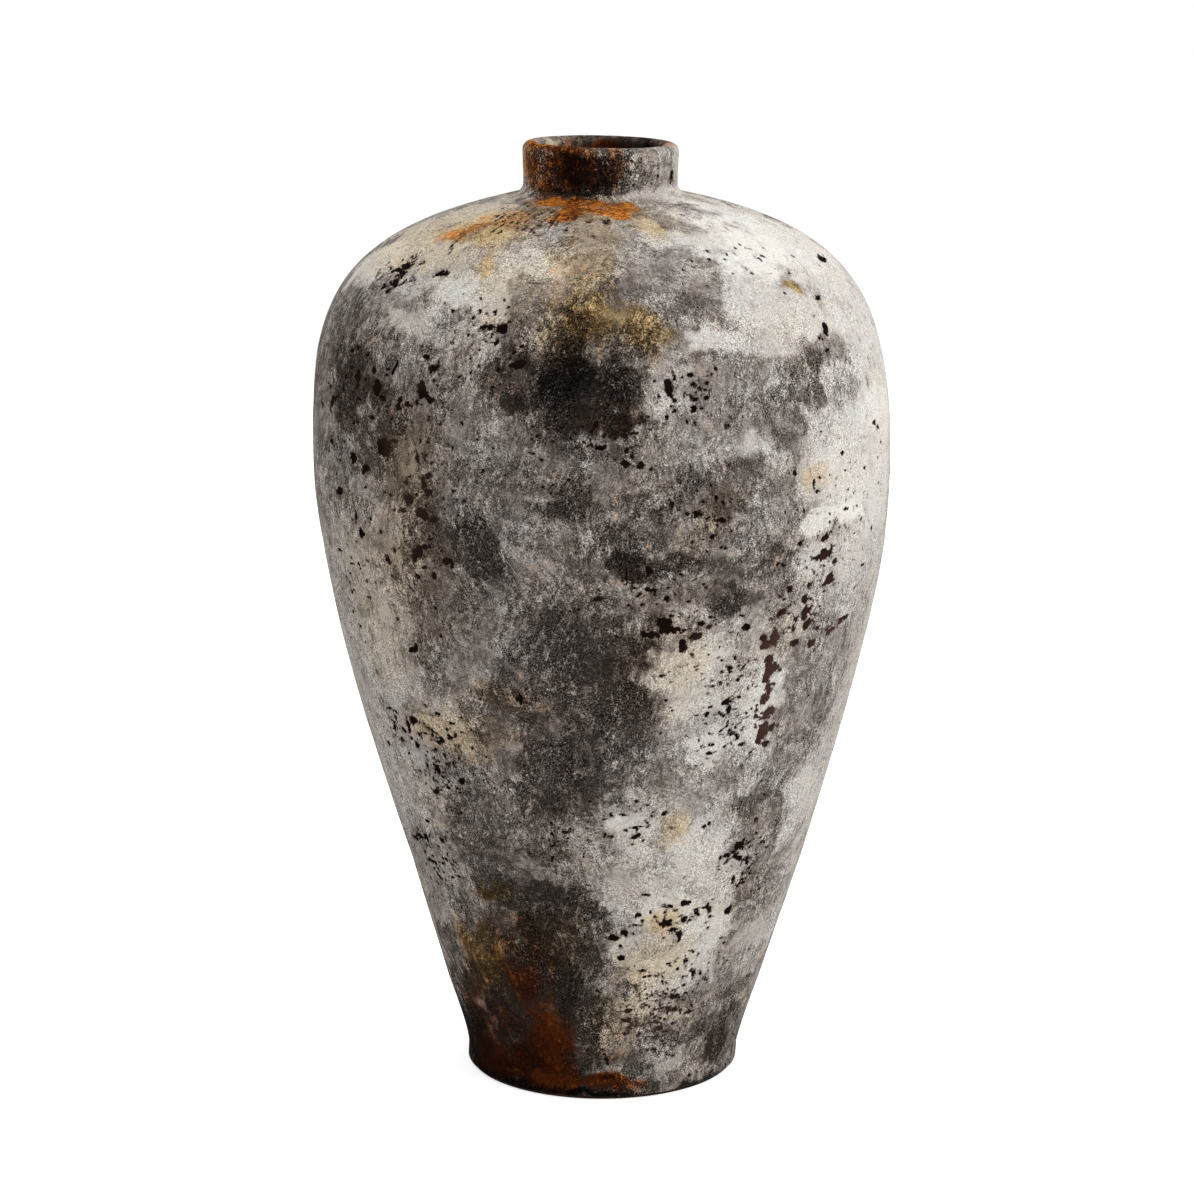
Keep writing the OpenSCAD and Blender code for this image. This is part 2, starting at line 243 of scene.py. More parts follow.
PATCHES = [
    # left shoulder and flank
    (-66, 645, 9, 26, 0, 0.36, 0.85), (-57, 622, 9, 36, 0, 0.2, 0.95), (-48, 637, 7, 18, 0, 0.4, 0.85),
    (-45, 588, 6, 30, 0, 0.25, 0.9), (-45, 612, 5, 10, 0, 0.2, 0.8), (-35, 560, 5, 14, 0, 0.5, 0.8),
    (-56, 588, 6, 12, 0, 0.18, 0.85), (-50, 558, 9, 14, 0, 0.32, 0.8), (-35, 690, 8, 22, 0, 0.84, 0.9),
    (-42, 663, 9, 13, 0, 0.77, 0.85), (-27, 660, 8, 12, 0, 0.61, 0.85), (-72, 700, 14, 20, 0, 0.88, 0.85),
    (-74, 666, 12, 16, 0, 0.56, 0.8), (-50, 692, 10, 18, 0, 0.72, 0.75), (-68, 562, 11, 11, 0, 0.4, 0.75),
    (-45, 536, 5, 9, 0, 0.42, 0.75), (-76, 385, 10, 16, 0, 0.68, 0.7), (-25, 712, 7, 20, 0, 0.74, 0.85),
    (-14, 714, 7, 12, 0, 0.78, 0.85), (-62, 530, 10, 24, 0, 0.46, 0.8), (-46, 500, 8, 34, 0, 0.56, 0.85),
    (-76, 502, 12, 30, 0, 0.47, 0.75), (-35, 504, 6, 34, 0, 0.28, 0.85), (-51, 400, 6, 50, 0, 0.7, 0.85),
    (-45, 425, 4, 34, 0, 0.58, 0.8), (-45, 375, 5, 20, 0, 0.67, 0.8), (-52, 345, 7, 14, 0, 0.56, 0.7),
    (-50, 240, 9, 40, 0, 0.52, 0.8), (-60, 222, 10, 12, 0, 0.46, 0.8), (-37, 344, 8, 22, 0, 0.7, 0.85),
    (-25, 688, 6, 18, 0, 0.8, 0.85), (-15, 685, 6, 18, 0, 0.44, 0.8), (-25, 600, 7, 50, 0, 0.5, 0.8),
    (-14, 560, 6, 40, 0, 0.44, 0.8), (-25, 494, 6, 28, 0, 0.22, 0.95), (-27, 460, 6, 12, 0, 0.35, 0.8),
    (-14, 505, 6, 24, 0, 0.49, 0.85), (-35, 457, 6, 18, 0, 0.41, 0.8), (-26, 420, 7, 30, 0, 0.5, 0.8),
    (-26, 392, 7, 14, 0, 0.54, 0.8), (-26, 352, 7, 22, 0, 0.42, 0.8), (-38, 275, 6, 14, 0, 0.35, 0.7),
    (-36, 240, 8, 24, 0, 0.33, 0.85), (-25, 290, 7, 40, 0, 0.41, 0.8), (-26, 236, 6, 14, 0, 0.29, 0.8),
    (-15, 260, 6, 12, 0, 0.38, 0.8), (-15, 232, 6, 16, 0, 0.29, 0.85), (-14, 280, 7, 16, 0, 0.21, 0.9),
    (-15, 320, 6, 40, 0, 0.27, 0.8), (-46, 288, 6, 26, 0, 0.62, 0.85), (-60, 270, 12, 40, 0, 0.62, 0.8),
    (-62, 170, 8, 24, 0, 0.48, 0.8), (-50, 197, 5, 16, 0, 0.54, 0.8),
    # black smudge below the shoulder, with brown above it
    (-14, 638, 7, 28, 0, 0.13, 0.9), (-4, 672, 7, 20, 0, 0.2, 0.9), (-5.5, 642, 4.5, 26, 0, 0.06, 1.0),
    (2, 628, 8, 24, 0, 0.09, 0.95), (4, 692, 9, 12, 0, 0.4, 0.85), (8, 668, 6, 12, 0, 0.36, 0.85),
    (-6, 657, 6, 12, 0, 0.13, 0.9), (-9, 600, 4, 12, 0, 0.24, 0.7), (-15, 607, 5, 9, 0, 0.46, 0.8),
    (-4, 584, 6, 10, 0, 0.27, 0.85),
    # middle
    (14, 685, 7, 24, 0, 0.5, 0.8), (14, 620, 6, 34, 0, 0.63, 0.85), (23, 662, 11, 12, 0, 0.84, 0.85),
    (25, 688, 7, 11, 0, 0.39, 0.85), (15, 662, 5, 9, 0, 0.52, 0.7), (25, 709, 5, 12, 0, 0.57, 0.8),
    (20, 738, 10, 8, 0, 0.74, 0.9), (33, 736, 11, 9, 0, 0.77, 0.85), (25, 626, 8, 26, 0, 0.48, 0.85),
    (4, 607, 5, 12, 0, 0.04, 0.9), (5, 585, 6, 12, 0, 0.34, 0.85), (5, 657, 6, 11, 0, 0.3, 0.85),
    (4, 556, 6, 14, 0, 0.45, 0.8), (-6, 503, 4, 14, 15, 0.47, 0.8), (-5, 545, 5, 20, 0, 0.24, 0.85),
    (-5, 534, 6, 12, 0, 0.2, 0.85), (-4, 608, 6, 12, 0, 0.12, 0.9), (15, 587, 6, 18, 0, 0.55, 0.85),
    (15, 555, 6, 14, 0, 0.33, 0.85), (26, 583, 6, 14, 0, 0.79, 0.85), (24, 542, 6, 30, 0, 0.32, 0.85),
    (34, 562, 6, 14, 0, 0.64, 0.8), (5, 514, 6, 14, 0, 0.27, 0.85), (5, 488, 7, 15, 0, 0.12, 0.95),
    (14, 492, 7, 14, 0, 0.2, 0.85), (25, 482, 7, 13, 0, 0.33, 0.9), (6, 536, 6, 10, 0, 0.3, 0.8),
    (34, 520, 6, 20, 0, 0.53, 0.8), (35, 487, 6, 14, 0, 0.22, 0.85), (14, 465, 6, 8, 0, 0.44, 0.7),
    (-5, 490, 5, 24, 0, 0.38, 0.8), (-4, 457, 7, 14, 0, 0.41, 0.8), (25, 456, 8, 11, 0, 0.2, 0.85),
    (-15, 458, 5, 12, 0, 0.47, 0.8), (15, 462, 5, 8, 0, 0.42, 0.7), (5, 462, 4, 7, 0, 0.38, 0.8),
    (16, 434, 5, 10, 0, 0.39, 0.7), (14, 412, 5, 10, 0, 0.5, 0.8), (35, 462, 5, 10, 0, 0.42, 0.8),
    (5, 438, 5, 12, 0, 0.52, 0.8), (5, 400, 5, 40, 0, 0.19, 0.9), (-5, 400, 6, 30, 0, 0.22, 0.8),
    (3, 350, 6, 24, 0, 0.22, 0.8), (17, 392, 9, 36, 0, 0.83, 0.85), (-15, 385, 5, 36, 0, 0.34, 0.8),
    (30, 395, 5, 40, 0, 0.64, 0.8), (13, 335, 5, 14, 0, 0.58, 0.8), (25, 325, 8, 22, 0, 0.84, 0.85),
    (13, 309, 5, 11, 0, 0.48, 0.85), (5, 318, 4, 16, 0, 0.42, 0.7), (-5, 316, 6, 28, 0, 0.2, 0.85),
    (-4, 235, 8, 24, 0, 0.55, 0.9), (5, 262, 7, 16, 0, 0.88, 0.85), (6, 240, 7, 24, 0, 0.74, 0.85),
    (-5, 208, 5, 12, 0, 0.52, 0.8), (18, 290, 8, 14, 0, 0.58, 0.8),
    # right shoulder and flank
    (36, 685, 9, 24, 0, 0.8, 0.9), (47, 672, 7, 18, 0, 0.8, 0.9), (36, 660, 7, 10, 0, 0.76, 0.8),
    (46, 636, 9, 14, 5, 0.34, 0.95), (38, 622, 7, 14, 0, 0.44, 0.85), (38, 590, 6, 16, 0, 0.42, 0.85),
    (70, 588, 10, 24, 0, 0.9, 0.8), (70, 516, 10, 36, 0, 0.85, 0.8), (45, 610, 7, 9, 0, 0.38, 0.85),
    (56, 616, 6, 14, 0, 0.5, 0.8), (33, 632, 6, 14, 0, 0.6, 0.8), (57, 643, 6, 16, 0, 0.44, 0.85),
    (46, 580, 5, 20, 0, 0.72, 0.85), (46, 540, 6, 30, 0, 0.78, 0.85), (55, 545, 8, 60, 0, 0.85, 0.85),
    (45, 476, 6, 20, 0, 0.81, 0.85), (45, 508, 6, 12, 0, 0.9, 0.9), (56, 508, 7, 14, 0, 0.94, 0.85),
    (55, 470, 7, 28, 0, 0.79, 0.85), (44, 428, 6, 28, 0, 0.66, 0.85), (56, 405, 8, 26, 0, 0.48, 0.8),
    (35, 355, 6, 44, 0, 0.86, 0.9), (57, 344, 6, 26, 0, 0.42, 0.85), (45, 345, 7, 30, 0, 0.5, 0.7),
    (47, 320, 4, 12, 0, 0.58, 0.7), (66, 400, 7, 60, 0, 0.6, 0.8), (63, 310, 7, 8, 10, 0.57, 0.8),
    (40, 340, 3, 20, 0, 0.54, 0.6), (34, 310, 6, 18, 0, 0.6, 0.8), (38, 266, 8, 22, 0, 0.42, 0.9),
    (35, 288, 6, 13, 0, 0.7, 0.85), (36, 240, 5, 14, 0, 0.56, 0.8), (47, 265, 3, 24, 0, 0.42, 0.8),
    (56, 270, 7, 26, 0, 0.77, 0.9), (60, 240, 5, 12, 0, 0.6, 0.8), (25, 234, 7, 40, 0, 0.8, 0.95),
    (16, 206, 6, 16, 0, 0.76, 0.8), (45, 234, 5, 12, 0, 0.46, 0.8), (56, 237, 6, 13, 0, 0.74, 0.85),
    (47, 192, 8, 22, 0, 0.45, 0.9), (40, 185, 3, 20, 0, 0.42, 0.8), (62, 175, 7, 18, 0, 0.5, 0.85),
    (68, 250, 9, 34, 0, 0.76, 0.8), (32, 195, 6, 24, 0, 0.74, 0.85), (35, 155, 8, 24, 0, 0.82, 0.9),
    (37, 208, 5, 16, 0, 0.72, 0.8), (5, 192, 7, 24, 0, 0.67, 0.85), (-6, 160, 6, 32, 0, 0.31, 0.9),
    (-6, 188, 6, 10, 0, 0.2, 0.8), (2, 160, 5, 14, 0, 0.48, 0.8), (52, 138, 9, 14, 0, 0.66, 0.85),
    (54, 163, 7, 12, 0, 0.43, 0.8),
    # foot, dark at the left and speckled at the right
    (-48, 14, 34, 26, 0, 0.03, 0.97), (-20, 120, 15, 44, 0, 0.12, 0.95), (-36, 150, 9, 30, 0, 0.23, 0.9),
    (-34, 200, 9, 18, 0, 0.26, 0.85), (-22, 182, 8, 26, 0, 0.17, 0.9), (-25, 162, 6, 12, 0, 0.1, 0.85),
    (-25, 138, 7, 12, 0, 0.1, 0.8), (-40, 112, 11, 14, 0, 0.17, 0.8), (-31, 185, 8, 12, 0, 0.2, 0.85),
    (-14, 175, 6, 30, 0, 0.18, 0.9), (-18, 212, 9, 10, 0, 0.41, 0.8), (-47, 132, 7, 20, 0, 0.36, 0.85),
    (-46, 170, 7, 20, 0, 0.34, 0.8), (-51, 94, 9, 18, 0, 0.18, 0.85), (-62, 122, 9, 18, 0, 0.31, 0.8),
    (-66, 90, 9, 14, 0, 0.3, 0.8), (-62, 55, 14, 14, 0, 0.06, 0.9), (-78, 70, 8, 30, 0, 0.34, 0.8),
    (-4, 70, 6, 50, 0, 0.24, 0.9), (-5, 120, 5, 24, 0, 0.27, 0.85), (4, 112, 7, 20, 0, 0.48, 0.85),
    (6, 135, 7, 9, 0, 0.7, 0.75), (16, 108, 8, 12, 0, 0.76, 0.85), (30, 117, 10, 18, 0, 0.77, 0.85),
    (12, 86, 11, 14, 0, 0.79, 0.9), (25, 80, 8, 14, 0, 0.64, 0.9), (36, 86, 8, 12, 0, 0.54, 0.8),
    (12, 57, 10, 12, 0, 0.52, 0.85), (26, 34, 10, 14, 0, 0.63, 0.9), (38, 36, 6, 12, 0, 0.47, 0.8),
    (47, 58, 12, 18, 5, 0.27, 0.95), (36, 62, 6, 12, 0, 0.3, 0.8), (-20, 64, 10, 42, 0, 0.19, 0.85),
    (52, 32, 10, 15, 0, 0.2, 0.95), (55, 90, 14, 12, 0, 0.34, 0.9), (66, 50, 7, 30, 0, 0.4, 0.8),
    (57, 112, 10, 12, 0, 0.62, 0.85), (16, 30, 7, 10, 0, 0.4, 0.8), (-12, 15, 28, 7, 0, 0.17, 0.85),
    (10, 13, 5, 5, 0, 0.32, 0.8), (4, 13, 2.5, 4, 0, 0.02, 0.8), (-10, 1, 50, 7, 0, 0.02, 0.97),
    (44, 1, 22, 6, 0, 0.1, 0.85),
    # neck, lip and the band of orange below them
    (-45, 782, 30, 26, 0, 0.26, 0.95), (-8, 782, 26, 26, 0, 0.05, 0.95), (-80, 782, 14, 26, 0, 0.56, 0.9),
    (18, 782, 6, 26, 0, 0.22, 0.9), (28, 782, 8, 26, 0, 0.38, 0.9), (54, 782, 22, 26, 0, 0.57, 0.95),
    (84, 782, 16, 26, 0, 0.75, 0.9), (-74, 30, 26, 30, 0, 0.01, 0.98), (-20, 752, 40, 7, 0, 0.5, 0.9),
    # painted shade: the dark line at 764 mm where the neck meets the shoulder; the pale band at 760 mm on the
    # right is partly painted light from above
    (-14, 764, 44, 4, 0, 0.06, 0.9), (-44, 736, 13, 9, 8, 0.53, 0.85), (52, 760, 50, 6, 0, 0.8, 0.8),
    # small lighter and darker places over the others
    (5, 67, 5, 22, 0, 0.57, 0.75), (-42, 34, 14, 13, 0, 0.07, 0.85), (-55, 136, 6, 9, 0, 0.42, 0.7),
    (-36, 212, 5, 9, 0, 0.28, 0.7), (-56, 187, 6, 10, 0, 0.6, 0.6), (-76, 235, 9, 14, 0, 0.55, 0.6),
    (-26, 336, 5, 9, 0, 0.3, 0.7), (35, 387, 5, 9, 0, 0.61, 0.8), (25, 509, 5, 9, 0, 0.38, 0.7),
    (15, 534, 5, 8, 0, 0.46, 0.6), (-25, 535, 5, 9, 0, 0.36, 0.6), (-5, 562, 5, 8, 0, 0.32, 0.6),
    (-5, 710, 5, 9, 0, 0.46, 0.7), (-36, 711, 5, 9, 0, 0.68, 0.7), (-28, 736, 8, 8, 0, 0.51, 0.8),
    (24, 760, 12, 4, 0, 0.73, 0.7), (-30, 756, 8, 4, 0, 0.62, 0.7), (-14, 749, 6, 5, 0, 0.42, 0.7),
    (6, 748, 5, 5, 0, 0.62, 0.7), (14, 134, 5, 8, 0, 0.7, 0.6), (15, 609, 5, 8, 0, 0.72, 0.7),
    (-65, 659, 6, 9, 0, 0.53, 0.7), (15, 186, 5, 9, 0, 0.85, 0.7), (76, 85, 8, 20, 0, 0.58, 0.6),
    (3, 5, 10, 6, 0, 0.17, 0.9), (18, 12, 12, 6, 0, 0.22, 0.6), (-65, 660, 8, 24, 0, 0.34, 0.6),
    (-25, 735, 9, 12, 0, 0.5, 0.5), (-35, 715, 10, 18, 0, 0.64, 0.6), (25, 760, 16, 12, 0, 0.66, 0.4),
    (25, 585, 8, 14, 0, 0.68, 0.5), (5, 335, 7, 14, 0, 0.4, 0.5), (-25, 210, 7, 14, 0, 0.24, 0.5),
    (15, 148, 7, 22, 0, 0.6, 0.5), (26, 135, 6, 12, 0, 0.82, 0.5),
]
# Stains: azimuth, height, half width, half height, lean, strength
OCHRE = [
    (-3, 678, 8, 26, 0, 1.0), (9, 672, 7, 22, 0, 0.9), (49, 690, 3, 6, 0, 1.0), (-4, 722, 12, 26, 0, 0.55),
    (-29, 712, 2.5, 16, 0, 0.8), (-42, 736, 18, 12, 0, 0.85), (-58, 725, 34, 34, 0, 0.35),
    (-42, 120, 12, 34, 0, 1.0), (-34, 190, 6, 12, 0, 0.9), (6, 78, 12, 34, 0, 0.4),
    (17, 255, 4, 16, 0, 0.5), (18, 166, 7, 12, 0, 0.6), (26, 82, 8, 14, 0, 0.25),
    (-10, 751, 36, 12, 0, 0.6), (16, 744, 8, 8, 0, 0.5), (-37, 335, 16, 20, 0, 0.5),
    (-50, 450, 16, 80, 0, 0.3), (-38, 540, 8, 70, 0, 0.35), (-22, 370, 10, 14, 0, 0.4),
    (45, 545, 4, 8, 0, 0.5), (37, 420, 8, 26, 0, 0.15), (-20, 150, 14, 30, 0, 0.5),
    (12, 400, 10, 50, 0, 0.2), (-20, 690, 10, 30, 0, 0.3), (20, 525, 6, 20, 0, 0.35),
    (15, 130, 14, 30, 0, 0.35), (50, 30, 10, 20, 0, 0.2),
]
RUST = [
    (-28, 756, 22, 5, 0, 1.0), (-50, 735, 8, 6, 0, 0.6), (-38, 742, 12, 7, 0, 0.32),
    (3, 752, 17, 4.5, 0, 0.85), (9, 747, 5, 5, 0, 0.9), (16, 751, 6, 4, 0, 0.4), (-16, 748, 7, 6, 0, 0.95),
    (-20, 46, 13, 40, 0, 0.95), (-26, 108, 8, 18, 0, 0.7), (-12, 14, 30, 8, 0, 0.9), (9, 13, 6, 6, 0, 0.6),
    (3, 6, 9, 6, 0, 0.8), (-30, 140, 14, 30, 0, 0.25), (-50, 75, 18, 26, 0, 0.4),
    (-46, 28, 30, 24, 0, 0.95), (-66, 785, 18, 26, 0, 0.62), (-45, 802, 36, 6, 0, 0.55),
    (-25, 785, 28, 26, 0, 0.8), (10, 785, 8, 22, 0, 0.5), (6, 46, 5, 8, 0, 0.3), (-50, 765, 20, 6, 0, 0.5),
]

# Where chips show reddish brown clay instead of the dark undercoat, in the same rows
EARTHY = [
    (37, 372, 6, 66, 0, 1.0), (20, 426, 5, 12, 0, 0.7), (14, 75, 16, 40, 0, 0.6),
    (-38, 540, 10, 70, 0, 0.5), (50, 440, 12, 50, 0, 0.45), (54, 414, 8, 10, 0, 0.9),
    (-20, 745, 40, 12, 0, 0.6), (45, 45, 30, 40, 0, 0.4), (150, 300, 40, 200, 0, 0.6),
]

# How strongly the dabs and the grain show, in the rows of a patch: 0.5 is plain
CRISP = [
    (-62, 780, 30, 22, 0, 0.98, 0.95), (-10, 780, 30, 22, 0, 0.8, 0.9), (-34, 40, 32, 60, 0, 0.2, 0.95),
    (13, 78, 16, 38, 0, 0.78, 0.9), (44, 715, 30, 44, 0, 0.3, 0.9), (-5, 320, 18, 110, 0, 0.58, 0.8),
    (50, 600, 18, 50, 0, 0.6, 0.8), (20, 785, 8, 22, 0, 0.75, 0.8), (42, 320, 22, 150, 0, 0.6, 0.8),
    (140, 822, 60, 26, 0, 0.1, 1.0),
]

# Inside of the mouth and its lip, in the rows of a patch, and stains there and on the far side
MOUTH = [
    (0, 820, 90, 20, 0, 0.34, 0.8), (180, 824, 70, 24, 0, 0.2, 0.95), (-134, 818, 24, 20, 0, 0.5, 0.85),
    (-126, 815, 14, 11, 0, 0.9, 0.8), (166, 822, 22, 22, 0, 0.16, 0.95), (122, 822, 38, 24, 0, 0.05, 1.0),
    (0, 806, 80, 3, 0, 0.16, 0.7), (-78, 800, 30, 7, 0, 0.5, 0.6), (80, 800, 30, 7, 0, 0.5, 0.5),
    (10, 799, 30, 6, 0, 0.52, 0.6),
]
FAR_OCHRE = [
    (150, 670, 10, 30, 0, 0.5), (-130, 420, 10, 40, 0, 0.4), (115, 260, 14, 30, 0, 0.4),
    (180, 90, 20, 40, 0, 0.6), (-150, 560, 12, 30, 0, 0.3), (-150, 822, 30, 20, 0, 0.25),
    (-125, 818, 26, 14, 0, 0.6),
]
FAR_RUST = [
    (160, 752, 50, 8, 0, 0.6), (-150, 40, 30, 30, 0, 0.6), (130, 20, 30, 14, 0, 0.6),
    (-80, 802, 30, 6, 0, 0.65), (-150, 816, 20, 12, 0, 0.35), (88, 802, 30, 6, 0, 0.45),
    (172, 820, 24, 16, 0, 1.0), (120, 815, 30, 12, 0, 0.3),
]

# Depths of the coat's relief in millimetres: the least, slow unevenness, rings, dabs and chips
LEAST_D, UNEVEN_D, RING_D, DAB_D, CHIP_D = 0.06, 0.4, 0.12, 0.16, 0.75


# Millimetres in a degree around the wall, as at three quarters of the belly's radius, and how far along
# its half size a patch starts to fade, and is gone
PATCH_MM_PER_DEGREE = 3.2
PATCH_FULL, PATCH_GONE = 0.35, 1.35


def apart(azimuth, middle):
    """Degrees from a middle to an azimuth, the short way round."""
    return (azimuth - middle + 180) % 360 - 180


def leaned(across, up, lean):
    """Distances along and across an oval that leans by an angle in degrees: both turned by the angle."""
    turn = math.radians(lean)
    return across * math.cos(turn) + up * math.sin(turn), up * math.cos(turn) - across * math.sin(turn)


def blob(places, azimuth, height, half_width, half_height, lean):
    """Soft oval mask from 0 to 1 on the wall, leaning by an angle: full inside, fading past its edge."""
    across = apart(places[0], azimuth) * PATCH_MM_PER_DEGREE
    u, v = leaned(across, places[1] - height, lean)
    reach = np.sqrt((u / (half_width * PATCH_MM_PER_DEGREE)) ** 2 + (v / half_height) ** 2)
    return 1 - smooth(PATCH_FULL, PATCH_GONE, reach)


# How far painted edges wander, in degrees and in millimetres, over what size, and how much less on the
# neck, from one height to another
WANDER_DEG, WANDER_UP, WANDER_SIZE = 2.6, 9.0, 46 * MM
NECK_CALM, CALM_FROM, CALM_TO = 0.65, 735, 765


def wandering(surface, azimuth, height):
    """Azimuth and height moved about by noise, so that painted edges wander like a wiped glaze; on the
    narrow neck they move less."""
    calm = 1 - NECK_CALM * smooth(CALM_FROM, CALM_TO, height)
    aside, up = (cloud(surface, WANDER_SIZE, 4, seed, 0.66) for seed in (1.0, 2.0))
    return azimuth + WANDER_DEG * aside * calm, height + WANDER_UP * up * calm


